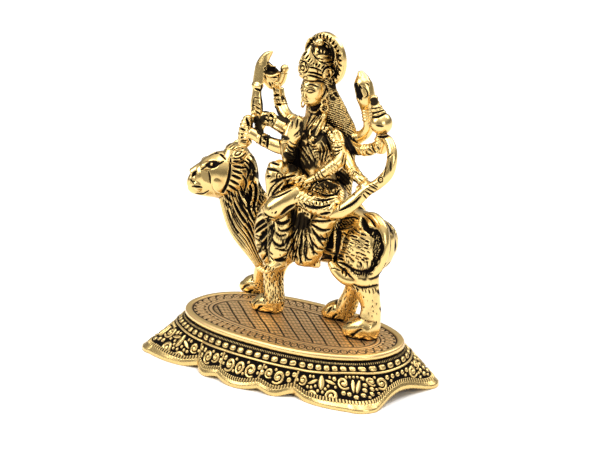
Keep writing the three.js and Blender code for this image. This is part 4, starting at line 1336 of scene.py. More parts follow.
def chase_lion_body(piece):
    """Fur, the recesses round tail and thigh, the drapery's edge over the flank, and the paws, with
    painted shade under the tail and down the sides of the legs.
    """
    fur = [
        (11,445,430,500,470), (12,450,520,530,560), (12,430,575,510,610), (12,420,655,480,685), (12,395,730,470,755),
        (12,370,780,440,805), (12,375,830,435,860), (11,560,400,600,440), (12,600,370,700,440), (12,540,470,660,512),
        (8,570,530,640,555,720,600), (8,540,580,610,615), (12,720,440,800,475), (12,710,510,790,550),
        (9,650,650,710,680), (11,800,550,850,580), (11,790,610,850,640), (12,760,660,830,695), (8,640,740,680,765),
        (10,720,770,800,800), (11,760,830,820,860), (9,720,850,780,870), (11,690,900,750,950), (12,640,950,740,990),
        (11,780,940,830,970), (9,470,800,530,820), (10,550,850,610,885), (8,640,800,665,820), (7,520,650,560,670),
    ]
    recess = [
        (60,940,400,985,520,1000,680), (85,1000,560,1005,680,975,820), (62,990,700,960,860,915,960),
        (34,940,900,860,1030,700,1045), (24,760,1050,600,1020,480,945,380,900), (50,750,205,775,300,850,410),
        (56,830,380,900,420,960,520), (14,540,1005,620,1072,750,1095,900,1082),
    ]
    chase(piece, HAUNCH_SHEET, recess, depth=1.1, reach=16)
    chase(piece, HAUNCH_SHEET, recess, depth=1.0, reach=16, view=far_view)
    chase(
        piece, HAUNCH_SHEET,
        cuts=[
            *fur, *dashes(21, 44, (400,440,850,980), 62, 0.5, 6), (16,260,215,450,210,600,190,680,210),
            (11,300,312,352,382), (11,338,290,402,372), (11,375,272,440,370), (11,415,260,470,340),
            (11,455,252,507,325), (10,490,240,545,310), (10,530,228,580,290), (9,565,215,620,265),
            (34,265,400,240,550,225,700,215,850), (26,400,420,370,600,340,750,310,880),
            # The first stroke on this line is the shadow under the tail, painted as a blackened cut.
            (16,600,1248,720,1292,850,1284,990,1250), (8,570,1252,622,1322), (8,640,1290,682,1342),
            (7,730,1302,752,1352), (6,790,1330,802,1382), (7,840,1318,862,1380), (7,900,1300,922,1370),
            (7,940,1290,962,1342), (9,440,1000,430,1080), (9,500,1040,480,1130), (8,250,990,330,1000,400,1030),
        ],
        raised=[(14, 330 - 6 * k, 470 + 42 * k) for k in range(10)] + dashes(22, 22, (900,440,1010,940), 70, 2.0, 4),
        shades=[(16,680,1145,800,1165,950,1135,1080,1020,1180,900), (14,300,395,430,380,600,340)], depth=0.55,
        bold=1.35,
    )
    chase(piece, HAUNCH_SHEET, fur, view=far_view)
    chase(piece, LAP_SHEET, DRAPE_STROKES, depth=0.7, bold=1.4)
    chase(piece, FLANK_SHEET, cuts=[
        (12,320,0,335,110,370,220,372,330), (10,385,10,398,110,384,200), (10,300,120,330,240,340,360,330,470),
        (12,350,400,345,520,380,640), (12,470,130,430,190,400,270), (10,560,60,480,90,430,150), (10,420,30,440,90),
    ], depth=0.6)
    chase(piece, **SHOULDER)
    chase(piece, PAWS_SHEET, cuts=[
        (12,165,392,190,365,222,352), (6,130,345,150,315,182,298), (11,25,190,55,155,92,145),
        (12,75,238,100,208,132,194), (10,856,422,878,385,897,362), (12,905,478,925,452,947,432),
        (11,850,482,930,512,1010,526,1090,508), (9,1086,642,1112,618), (13,1100,652,1130,616,1188,580),
        *dashes(5, 60, (215,20,400,330), 22, 1.4, 4.4), *dashes(25, 26, (380,30,440,330), 26, 1.5, 5),
        *dashes(6, 50, (960,170,1180,470), 18, 1.8, 3.4), *dashes(7, 14, (1190,250,1350,560), 12, 1.3, 4),
        *dashes(8, 20, (100,90,230,260), 14, 0.8, 4),
    ], dust_and_shade=[
        # Mottled painted shade down the sides of the legs.
        (40,420,20,415,150,420,300), (30,215,40,215,180,220,300), (50,960,200,930,320,900,400),
        (30,1060,120,1080,300,1090,420),
    ])
    chase(piece, LAP_SHEET, cuts=[(14,1120,700,1200,690,1290,668), (7,1260,750,1290,770)], depth=0.4)


def chase_far_fur(piece):
    """Fur on the legs, the shoulder and the belly, seen from behind."""
    chase(piece, PLAIN_SHEET, view=rear_view, cuts=[
        *dashes(41, 150, (-44,-34,-10,-4), 2.8, 1.5, 0.3), *dashes(42, 190, (12,-34,46,-4), 2.8, 1.6, 0.3),
        *dashes(43, 60, (-32,-50,-15,-30), 3, 0.9, 0.32), *dashes(44, 70, (-14,-37,26,-27), 3, 0.15, 0.3),
        *dashes(45, 40, (24,-52,44,-44), 3, 0.4, 0.3),
    ], depth=0.4, reach=26)


def chase_dress(piece):
    """The folds over lap and knees, the girdle's ties, the feet and their anklets, with painted shade in
    the fan's deep middle, behind the ties and in the lap's hollows.
    """
    chase(piece, **SHOULDER)
    chase(piece, LAP_SHEET, cuts=[
        *DRAPE_STROKES, (26,492,125,580,138,650,115,705,78), (22,498,205,560,245,620,252,690,225,742,165),
        (20,472,265,530,320,590,332,655,310), (22,418,380,470,450,560,487,620,455,700,375,762,290),
        (12,540,552,620,562,702,545), (9,460,200,440,300,402,420,388,500), (9,385,590,432,622), (9,550,630,556,636),
        (11,368,620,440,702,530,692,640,642,682,600), (26,470,705,560,715,650,690), (10,352,772,310,852),
        (8,378,790,362,832), (8,412,808,392,852), (9,462,828,432,882), (14,790,255,705,400,645,520),
        (15,830,290,812,450,742,640,735,765), (15,890,300,880,420,852,560,862,680,892,772),
        (16,962,330,930,480,922,600,980,700,1042,705), (15,930,290,992,440,1062,560,1135,620),
        (15,1000,300,1052,430,1152,530,1232,545), (20,1040,205,1100,300,1200,385,1300,375),
        (22,1030,140,1120,200,1220,245,1335,232), (20,1010,80,1100,92,1220,104,1350,90), (10,1060,350,1092,402),
        (10,750,660,800,652,822,720), (9,870,640,920,600), (10,1040,590,1090,610),
        (12,1280,300,1310,420,1290,560,1250,640),
    ], shades=[
        # Painted shade in the deep middle of the fan of pleats.
        (120,880,20,890,110,885,200), (70,885,180,880,300), *dashes(11, 60, (760,270,1020,520), 26, 1.5, 5),
    ], depth=0.85, reach=26, bold=1.3)
    chase(
        piece, GIRDLE_SHEET,
        # A dark ground behind the girdle's ties, patina and painted shade together.
        shades=[(24,400,590,470,568,520,590), (22,500,530,570,510,600,540), (12,430,520,470,545)],
        raised=[
            (3,390,602,450,626,530,622), (2.6,400,580,460,602,520,600), (2.4,455,540,510,562,560,592),
            (2.4,480,600,540,600,570,620), *dashes(31, 14, (380,556,540,622), 15, 1.0, 2.2),
        ],
        depth=0.4, reach=20,
    )
    chase(piece, BODY_SHEET, cuts=[
        (15,240,862,290,880,352,902), (17,198,945,270,957,352,982), (15,198,1042,245,1040), ring(7,360,1040,40),
        (10,352,1042,366,1038), (15,250,1112,330,1082,545,1030), (10,215,1270,250,1190,320,1120,392,1080),
        (14,265,1252,340,1172,402,1118), (14,378,1202,440,1162,522,1150), (11,250,1292,330,1282,420,1242,502,1200),
        (8,233,1442,250,1408), (9,262,1480,268,1484), (8,298,1492,320,1468), (20,375,1508,450,1435,535,1388),
        (9,165,1478,230,1532,305,1552), (11,825,1250,930,1272,1040,1242,1100,1180),
        (16,640,1370,720,1412,830,1422,965,1380), (10,760,1320,880,1332,1000,1310), (10,555,1400,620,1470,705,1502),
        (15,850,1502,965,1480), (8,690,1252,722,1220,762,1240,740,1272,690,1252),
        *dashes(12, 12, (690,1345,960,1390), 26, 1.2, 7), *dashes(13, 12, (850,1185,1060,1245), 28, 1.0, 7),
        *dashes(14, 12, (580,1360,680,1460), 26, 1.2, 7),
    ], shades=[
        # Painted shade in the hollows of the lap, and flecks of it.
        (60,1060,1000,1130,1080,1160,1180), (45,480,930,540,960), *dashes(15, 50, (430,860,740,1000), 16, 0.9, 6),
    ], depth=0.7, bold=1.4)


def chase_goddess_body(piece):
    """Necklaces, garland, shawl, fingers and bangles, and the shadows between the arms."""
    chase(piece, ARMS_SHEET, cuts=[
        (18,590,748,655,745), (17,625,888,690,885), (9,640,790,662,850), (9,612,800,632,862), (10,690,760,720,850),
        (12,590,700,575,640,550,600), (13,735,780,790,880,860,985), (15,445,1090,480,1140,545,1190),
        (13,480,1050,530,1110,580,1150), (11,515,1015,570,1070,615,1110), (10,540,1030,520,1080),
        (10,580,1060,555,1110), (16,545,1200,585,1265,620,1330), (15,440,1100,500,1010,540,990),
        (16,395,1350,378,1430,370,1510), (15,505,1400,490,1470,480,1540), (10,430,1390,462,1432),
        (10,408,1450,452,1490), (18,780,1500,830,1550,880,1580), (10,420,1380,480,1385),
        (12,170,1080,190,1170,210,1260), (14,80,1250,150,1272), (12,240,1070,262,1160),
    ], shades=[
        # Painted shade between and under the right arms.
        (60,350,1120,340,1220), (50,420,980,520,960,600,980), (50,440,1060,400,1140), (40,620,1060,720,1110,800,1150),
        (30,300,1080,310,1180), (40,560,1390,700,1380,800,1400), (24,600,920,640,1010,720,1090),
        (26,330,1290,400,1340),
    ], reach=9)
    # Painted shade under and between the arms, at the shoulder and elbow, and a dark ground over the chest behind the
    # necklaces.
    chase(piece, TORSO_SHEET, shades=[
        (100,760,400,720,560,690,700), (110,900,400,830,560), (130,760,900,800,1050,880,1150),
        (90,1030,720,1040,900,1000,1050), (120,560,960,680,1080,780,1180), (70,640,760,650,870),
        (70,780,235,870,265,960,230), (46,60,240,260,310,450,440), (30,20,480,120,560,210,650,330,700),
        (30,10,690,150,690,320,720), (26,60,900,240,985), (50,1120,430,1260,520,1400,640), (60,1400,700,1440,900),
        (60,370,970,440,1010,540,1080), (110,960,480,900,640,860,760),
    ])
    chain = [(13 - 0.3 * k, 402 + 11 * k, 604 + 43 * k, 478 + 7 * k, 594 + 43 * k) for k in range(8)]
    chase(piece, CHEST_SHEET, raised=[
        (9,330,30,390,95,450,112,520,50), (8,300,70,240,130,190,190), (8,440,150,390,230,335,320),
        (8,480,175,405,270,345,360), (9,535,150,470,240,395,340,360,440), (20,520,215,455,300,395,390,375,450),
        (40,620,165,570,275,520,375,470,450), (58,412,500,414,512), *chain,
        *[(9, 345 + 15 * k, 640 + 37 * k) for k in range(6)], (7,322,615,372,720,430,840),
        (7,370,610,420,700,450,790), (6,270,620,340,720,410,810), (6,258,700,320,790,380,880), (6,245,790,300,880),
        (8,548,540,610,650,592,760,570,840), (8,610,590,655,700,612,800), (8,645,690,665,780,600,870),
        (8,530,590,556,700,540,800), (30, 630, 350), (26, 585, 400), (30, 745, 405), (24, 690, 480), (30, 775, 560),
        (8,740,260,820,310,890,390),
    ], cuts=[
        (13,555,190,505,290,435,405), (13,655,200,615,300,560,415), (5, *ring(5,412,505,76)[1:]),
        (18,650,262,720,290), (9,690,330,720,390,660,440), (10,600,330,660,300), (11,640,480,680,540,720,560),
        (11,690,628,780,640,860,618), (12,690,686,780,694,860,662), (11,690,745,750,750,820,712), (14,112,235,96,335),
        (19,188,212,168,335), (19,244,240,224,320), (13,262,318,195,405,132,462), (8,240,400,210,450,160,480),
        (10,60,545,130,598,210,610), (13,15,572,80,640,165,672), (12,10,636,70,700,140,722),
        (11,5,700,60,752,130,772),
    ], reach=18)
    chase(piece, TORSO_SHEET, cuts=[
        (18,1090,450,1200,490,1300,560,1400,650), (10,1130,1015,1180,1000), (12,860,1300,900,1400,950,1470),
        (12,900,1265,945,1360,1005,1430), (11,945,1235,990,1320,1045,1380), (10,835,1360,870,1440,910,1500),
        (14,650,1370,590,1450), (11,690,1440,650,1500), (10,760,1450,720,1520), (11,60,330,130,440,160,480),
        (11,90,300,160,400,190,450), (10,130,290,200,370), (12,30,400,110,500), (12,85,760,75,860),
        (10,30,730,100,745), (14,190,420,150,480),
    ])
    chase(piece, BODY_SHEET, cuts=[
        (8,190,330,240,402), (7,205,308,262,382), (7,232,282,302,352), (9,285,62,340,70), (10,318,176,372,182),
        (6,300,110,350,120), (16,950,402,1060,462,1180,542), (10,960,452,992,522), (9,880,502,932,542),
        (8,570,1002,642,960), (8,590,1032,662,1000), (8,1140,760,1110,900),
    ], shades=[(60,1060,1000,1130,1080,1160,1180)])
    chase(piece, LEFT_SHEET, cuts=[
        (8,335,770,348,802,392,812), (8,360,740,402,782), (10,390,690,412,750,442,792), (9,450,700,470,742,522,772),
        (7,500,690,532,722), (9,480,780,540,812,562,842), (7,175,1042,215,990,272,1030), (9,165,1062,242,1112),
        (7,250,1060,302,1100), (8,285,1122,332,1100), (26,130,620,200,760,250,880,310,960,342,1022),
    ])
    chase(piece, RIGHT_SHEET, cuts=[
        (10,428,742,482,832), (9,455,720,522,812), (8,490,730,532,772), (10,398,782,470,872), (11,450,1050,436,1182),
        (8,350,1062,336,1172), (6,372,1072,432,1082), (6,365,1120,425,1130), (11,528,486,602,480),
        (12,563,606,627,600), (11,650,480,667,542), (10,262,518,240,620,246,702), (11,250,642,302,702),
        (11,290,622,347,692),
    # Painted shade between the right arms.
    ], shades=[(50,300,800,320,900), (22,400,700,560,652), (20,470,690,620,760,740,850)])


def chase_hem(piece):
    """The gathers that spread from the knees and the hatched border over the lion's flank."""
    # The shades paint a dark patch of shade among the gathers.
    chase(piece, HEM_SHEET, shades=[(52,325,425,340,490), (20,300,480,285,560), (20,380,470,400,540)], cuts=[
        (7,290,560,240,660,210,740), (7,315,580,290,690,270,780), (8,345,590,325,700,320,790),
        (8,370,580,370,680,360,770), (8,395,560,420,650,430,720), (9,415,520,470,600,510,650), (6,480,560,530,610),
        (6,140,590,200,600,240,570), (5,110,660,180,680,230,650),
        *[(5, 604 + 18 * k, 506 - 8 * k, 634 + 18 * k, 462 - 8 * k) for k in range(8)], (6,470,232,560,246,640,226),
        (6,440,262,520,276,600,262), (5,400,320,480,336,560,326),
    ], raised=[
        (3.4,330,520,300,630,262,720), (3.4,352,520,346,650,338,740), (3.4,378,510,392,640,402,720),
        (3.4,400,490,440,600,480,680), (3.4,302,510,255,610,205,680),
        *[(4, 588, 560 + 26 * k, 612, 556 + 26 * k) for k in range(7)],
    ], depth=0.45, reach=26)


def chase_armlet(piece):
    """The armlet on the right arm, and painted shade in the gap beside it and below the wrist."""
    chase(
        piece, ARMLET_SHEET, shades=[(22,214,570,226,640,262,706), (14,390,745,440,730)],
        cuts=[(6,300,560,345,572,350,600), (6,300,590,330,600), (6,290,615,330,625), (8,375,560,345,640)],
        raised=[(16,296,552,350,556,352,612), (12,290,580,340,590), (12,286,610,336,630), (8,345,650,420,690)],
        depth=0.4, reach=9,
    )


def chase_veil(piece):
    """Shadows where the veil meets the crown and the shoulder, and the locks beside the face."""
    chase(
        piece, CROWN_SHEET,
        shades=[(90,1000,1170,1080,1300), (80,1090,1380,1150,1480), (70,880,1280,870,1450), (60,1000,1480,1080,1560)],
        raised=[(9,1040,1400,1120,1380,1160,1460), (10,960,1200,1020,1230), (9,1010,1500,1060,1470,1100,1520)],
        depth=0.4,
    )
    chase(piece, TORSO_SHEET, shades=[(110, 1330, 1330, 1400, 1440), (60, 1250, 1260, 1290, 1330)])


def chase_attributes(piece):
    """The blade's guard, the bowl's ribs, the conch's mouth, the mace's rings and the bow's bands."""
    chase(piece, ARMS_SHEET, cuts=[
        (12,285,785,370,795), (11,280,790,262,900,255,1000), (14,275,900,330,935,390,965),
        (14,265,960,320,1000,375,1030), (12,262,1010,285,1040), (16,300,655,340,665,375,690), (9,340,860,380,900),
        (14,690,350,690,390), (10,430,440,470,520), (9,540,480,630,485), (17,170,1080,190,1170,210,1260),
        (16,80,1250,150,1272), (12,90,1330,200,1340), (12,85,1375,190,1380), (11,85,1425,170,1430),
        (14,215,1270,270,1370,310,1480), (12,240,1070,262,1160,250,1230), (14,510,560,540,620), (11,555,560,575,600),
        (14,580,640,610,700), (12,640,560,650,650),
    ], shades=[
        # Painted shade along the arm's lower edge, inside the bowl and between the arms.
        (22,395,600,400,760,410,900,420,1000), (60,490,320,560,340,610,345), (30,490,260,540,310),
        (40,440,400,560,400,640,370), (60,340,1120,330,1220),
    ], raised=[(9,450,372,500,362), (8,510,395,560,400), (14,440,440,540,470,660,430), (9,500,275,560,318,640,330)])
    chase(piece, LEFT_SHEET, cuts=[
        (30,222,40,236,130,280,205), (12,262,50,270,120,300,190), (10,200,90,225,160,262,215), (9,340,30,372,60),
        (8,300,70,342,112,352,170,322,192), (9,262,55,292,100), (9,358,300,430,306,502,290),
        (11,358,366,440,352,542,320), (13,378,398,460,398,552,356), (15,460,612,520,614,582,596),
        (9,545,850,546,950,522,1050), (9,622,790,560,842), ring(9,490,1080,26), (10,365,1135,452,1186),
        (10,340,1172,432,1226), (10,320,1200,397,1256), (8,300,1230,342,1282), (8,400,1125,462,1162),
        (18,48,1412,130,1372,210,1322,272,1260), (7,50,1330,120,1280,190,1230,212,1246), (7,50,1330,40,1402),
    ], shades=[(46, 420, 232), (14,600,880,602,982), (12,445,490,522,502)], depth=0.55)
    chase(piece, RIGHT_SHEET, cuts=[
        (32,405,112,470,132,545,110), (14,430,142,562,152), (20,642,128,610,162), (7,500,236,572,238),
        (14,272,390,320,406,364,422), (16,150,800,186,870,192,930), (14,225,770,260,830,272,900), (13,75,930,122,950),
        (13,78,1010,142,1020), (12,75,1065,142,1076), (11,75,1115,152,1130), (14,198,948,250,1030,300,1110,322,1162),
        (10,150,970,190,1060,232,1140),
    ])


def chase_crown(piece):
    """Bands and beads of the tiara, then the domes, rays and leaves above them, on both sides."""
    for view in (main_view, crown_far_view):
        chase(
            piece, TIARA_SHEET,
            cuts=[
                (24,640,180,740,260,792,380,812,480,800,572), (13,490,412,502,378), (11,540,350,541,422),
                (11,600,370,611,422), (15,480,462,600,456,702,440), (13,510,520,600,532,690,512,752,520),
                (15,640,602,720,592,782,570), (10,540,570,640,612,702,650),
                (13,380,330,420,430,480,512,560,582,682,640), (13,312,398,243,472), (14,347,463,293,532),
                (14,382,518,328,592), (9,417,570,380,612), (9,452,600,430,642), (8,502,630,480,672),
                (8,552,640,530,692), (13,642,650,583,717), (14,343,680,450,702,572,746), (16,343,775,470,797,592,832),
                (17,353,830,480,866,624,922), ring(9,282,890,34), (18,598,792,650,712,730,680,800,720,832,792),
                (28,735,850,738,856), (40,682,900,702,960,692,1040), (26,792,960,832,1040),
                (20,662,1090,640,1170,598,1232),
            ],
            raised=[(13,700,200,780,280,832,400,846,500,820,602), (13,722,1050,702,1160,640,1242)],
            shades=[(90,560,330,640,420), (60,700,330,720,480), (40,430,250,440,330)], depth=0.55, bold=1.35,
            view=view,
        )
        chase(
            piece, CROWN_SHEET,
            cuts=[
                (14,320,700,400,720,450,790,470,880), (17,500,850,640,870,800,940), (20,510,965,650,985,820,1050),
                (19,480,1030,650,1065,850,1130), (13,330,1090,360,1140,390,1190),
                (24,820,980,870,880,960,850,1050,880,1100,960), (24,965,1000,965,1060),
                (40,1130,820,1130,960,1080,1080), (30,870,1110,940,1160,1010,1190), (17,800,880,860,820),
                (15,390,600,470,500), (17,440,680,520,585), (16,490,740,550,670), (13,555,770,600,700),
                (12,600,800,650,730), (12,660,820,700,760), (13,720,850,760,790),
            ],
            shades=[(30,620,420,620,520), (60,880,420,960,560), (34,1060,480,1050,640), (26,1160,560,1150,700)],
            raised=[
                (13,695,480,690,550), (12,780,478,792,545), (11,860,500,850,555), (11,680,618,820,606,1000,612),
                (10,700,690,800,712,900,700), (9,760,650,860,660), (9,960,560,1020,640,1000,700), (8,900,380,940,440),
                (12,900,260,1010,340,1080,470,1100,600,1090,700), (10,940,790,1040,770,1140,720),
                (22,745,320,760,330),
            ],
            bold=1.15, view=view,
        )


def chase_crest(piece):
    """The slits inside the crest's rim, one between two radii at each of thirty angles."""
    slits = [
        (0.5, *(v for r in (0.76, 0.93) for v in (8.3 + 10.8 * r * math.cos(a), -118 - 12 * r * math.sin(a))))
        for a in (np.arange(30) + 0.5) / 30 * ROUND
    ]
    for view in (crest_view, crest_back):
        chase(piece, PLAIN_SHEET, slits, reach=4, view=view)


def chase_face(piece):
    """Eyes, brows, nostrils, lips and a mark on the brow, even on both sides, and the necklace."""
    lids, balls, brows = [], [], []
    for side in (-1, 1):
        inner, middle, outer = 0.9 * side, 2.5 * side, 4.2 * side
        lids.append((0.36, inner, -0.15, middle, -0.95, outer, -0.3))
        lids.append((0.22, inner, -0.1, middle, 0.5, outer, -0.2))
        lids.append((0.2, inner, -1.1, middle, -1.8, outer, -1.0))
        balls.append((0.42, middle - 0.7 * side, -0.25, middle + 0.7 * side, -0.25))
        brows.append((0.34, 0.8 * side, -2.3, middle, -3.1, 4.8 * side, -1.9))
        lids.append((0.2, 0.6 * side, 2.7, 0.95 * side, 2.5))
    chase(
        piece, PLAIN_SHEET, view=face_view,
        cuts=[
            *lids, *brows, (0.3,-1.5,4.55,0,4.4,1.5,4.55), (0.2,-0.8,5.5,0,5.65,0.8,5.5), ring(0.2,0,-3.9,0.5),
            ring(0.36,-0.2,-10.6,1.15), ring(0.36,-0.2,-10.6,2.4),
        ],
        raised=[*balls, (0.42,-1.1,4.1,-0.4,3.92,0,4,0.4,3.92,1.1,4.1), (0.48,-0.9,4.95,0,5.07,0.9,4.95)], depth=0.3,
        reach=4,
    )


# Recesses: how much metal surrounds each point of the surface

FIELD_CELL = 0.5 * MM
FIELD_MARGIN = 12


def metal_field(pieces):
    """The share of solid metal in each cell of a box round the pieces."""
    points, faces, start = [], [], 0
    for piece in pieces:
        co = points_of(piece.data)
        points.append(co)
        piece.data.calc_loop_triangles()
        faces.append(read(piece.data.loop_triangles, "vertices", np.int32) + start)
        start += len(co)
    points, faces = np.vstack(points), np.vstack(faces)
    low = np.floor(points.min(0) / FIELD_CELL).astype(int) - FIELD_MARGIN
    high = np.ceil(points.max(0) / FIELD_CELL).astype(int) + FIELD_MARGIN
    grid = openvdb.FloatGrid.createLevelSetFromPolygons(
        points.astype(np.float32), triangles=faces.astype(np.uint32),
        transform=openvdb.createLinearTransform(voxelSize=FIELD_CELL), halfWidth=3.0,
    )
    field = np.zeros(high - low, np.float32)
    grid.copyToArray(field, ijk=tuple(int(v) for v in low))
    return np.clip(0.5 - field / FIELD_CELL, 0, 1), low


def blurred(field, radii):
    """The field averaged with a Gaussian of each radius, by Fourier transform."""
    spectrum = np.fft.rfftn(field)
    steps = [np.fft.fftfreq(n) for n in field.shape[:2]] + [np.fft.rfftfreq(field.shape[2])]
    square = steps[0][:, None, None] ** 2 + steps[1][None, :, None] ** 2 + steps[2][None, None] ** 2
    for radius in radii:
        sigma = radius * MM / FIELD_CELL
        yield np.fft.irfftn(spectrum * np.exp(-2 * (math.pi * sigma) ** 2 * square), field.shape)


def sampled(field, low, points):
    """The field at points between its cells, from the eight cells round each."""
    at = points / FIELD_CELL - low
    cell = np.clip(np.floor(at).astype(int), 0, np.array(field.shape) - 2)
    share = at - cell
    total = 0
    for corner in np.ndindex(2, 2, 2):
        index = cell + corner
        weight = np.prod(np.where(corner, share, 1 - share), axis=1)
        total = total + weight * field[index[:, 0], index[:, 1], index[:, 2]]
    return total


# The narrow radius finds folds that hold patina; the wide one finds deep gaps between parts, used as painted shade.
RECESS_RADII = (1.0, 3.5)
RECESS_NAMES = ("recess_fold", "recess_deep")
CAVITY_ROUNDS = 14


def mark_cavities(piece):
    """Stores how far each point lies below its smoothed surroundings, in millimetres."""
    mesh = piece.data
    points, normals = points_of(mesh), read(mesh.vertices, "normal").astype(float)
    calm = smoothed(mesh, CAVITY_ROUNDS)
    depth = ((calm - points) * normals).sum(1) / MM
    store(mesh, "cavity", depth)


def mark_recesses(pieces):
    """Stores for each point how far the metal within each radius exceeds a flat surface's half."""
    field, low = metal_field(pieces)
    for name, soft in zip(RECESS_NAMES, blurred(field, RECESS_RADII)):
        for piece in pieces:
            value = sampled(soft, low, points_of(piece.data)) - 0.5
            store(piece.data, name, value)


# Materials


class Socket:
    """A shader value that takes part in Python expressions."""

    def __init__(self, graph, socket):
        self.graph = graph
        self.socket = socket

    def _math(self, operation, other):
        return self.graph.node("ShaderNodeMath", {"operation": operation}, [self, other])

    def __add__(self, other):
        return self._math("ADD", other)

    __radd__ = __add__

    def __mul__(self, other):
        return self._math("MULTIPLY", other)

    __rmul__ = __mul__

    def __sub__(self, other):
        return self._math("SUBTRACT", other)

    def __rsub__(self, other):
        return self.graph.node("ShaderNodeMath", {"operation": "SUBTRACT"}, [other, self])

    def power(self, other):
        return self._math("POWER", other)

    def fold(self):
        """Distance to the nearest whole number."""
        return self._math("PINGPONG", 0.5)

    def maximum(self, other):
        return self._math("MAXIMUM", other)

    def rise(self, low, high):
        """0 at low, 1 at high, smooth between."""
        settings = {"interpolation_type": "SMOOTHSTEP"}
        return self.graph.node("ShaderNodeMapRange", settings, [self, low, high, 0.0, 1.0])


class Graph:
    """A material's nodes."""

    def __init__(self, name):
        self.material = bpy.data.materials.new(name)
        self.material.use_nodes = True
        self.tree = self.material.node_tree
        self.shader = self.tree.nodes["Principled BSDF"]

    def put(self, socket, value):
        if isinstance(value, Socket):
            self.tree.links.new(value.socket, socket)
        else:
            socket.default_value = value

    def node(self, kind, settings, inputs, output=0):
        """A node with its settings, then its sockets by place or by name."""
        node = self.tree.nodes.new(kind)
        for key, value in settings.items():
            setattr(node, key, value)
        pairs = inputs.items() if isinstance(inputs, dict) else enumerate(inputs)
        for key, value in pairs:
            self.put(node.inputs[key], value)
        return Socket(self, node.outputs[output])

    def attribute(self, name):
        return self.node("ShaderNodeAttribute", {"attribute_name": name}, [], "Fac")

    def place(self):
        return self.node("ShaderNodeTexCoord", {}, [], "Object")

    def noise(self, scale, detail):
        inputs = {"Vector": self.place(), "Scale": scale, "Detail": detail}
        return self.node("ShaderNodeTexNoise", {}, inputs, "Fac")

    def mix(self, share, first, second):
        """Two colours, and how much of the second."""
        return self.node("ShaderNodeMix", {"data_type": "RGBA"}, {0: share, 6: first, 7: second}, 2)

    def relief(self, height, strength, distance, sunk=False):
        inputs = {"Strength": strength, "Distance": distance, "Height": height}
        return self.node("ShaderNodeBump", {"invert": sunk}, inputs, "Normal")

    def set(self, **sockets):
        """Sets the shader's sockets by name."""
        for key, value in sockets.items():
            self.put(self.shader.inputs[key.replace("_", " ")], value)
        return self.material


def colour(values):
    """A colour with full opacity."""
    return (*values, 1.0)


def gold_material(finish, name, satin=0.0):
    """Polished plating whose recesses and chased strokes hold black patina. The black and the deep
    gold also paint shade: in the deep gaps between parts, from the wide recess measure, and where
    shade strokes were drawn.
    """
    g = Graph(name)
    speck = g.noise(1100.0, 4.0)
    cloud = g.noise(110.0, 3.0)
    cavity = g.attribute("cavity")
    fold = g.attribute("recess_fold")
    # Grooves and folds hold black patina; the wide recess_deep term adds painted shade in the deep gaps between
    # parts.
    hollow = cavity * 5.5 + fold * 2.0 + g.attribute("recess_deep") * 1.5
    patina = (hollow + (speck - 0.5) * 0.34).rise(-0.02, 0.3)
    weave = g.noise(620.0, 3.0)
    # Mottled dark: the veil's own patina, and painted shade where dust strokes were laid.
    grain_and_shade = g.attribute("grain_and_shade") * (1.0 - (weave - cavity * 2.0).rise(0.4, 0.62)) * 0.93
    # The ink attribute holds both the black of chased cuts and the painted shade of shade strokes.
    patina = patina.maximum(g.attribute("ink")).maximum(g.attribute("patina")).maximum(grain_and_shade)
    # Darker gold in random clouds, and in hollows and gaps as painted shade.
    tone_and_shade = (cloud * 1.5 - 0.42 + hollow * 0.7).rise(0.12, 0.7)
    metal = g.mix(tone_and_shade, colour(finish.gold), colour(finish.deep_gold))
    base = g.mix(patina, metal, colour(finish.patina))
    rough = patina * 0.5 + (finish.polish + satin) + (speck - 0.5) * 0.08
    return g.set(Base_Color=base, Metallic=1.0, Roughness=rough, Normal=g.relief(speck, 0.3, 0.0001))


LATTICE_HALF = (0.0438, 0.0163)  # half sizes of the oval that the lattice fills


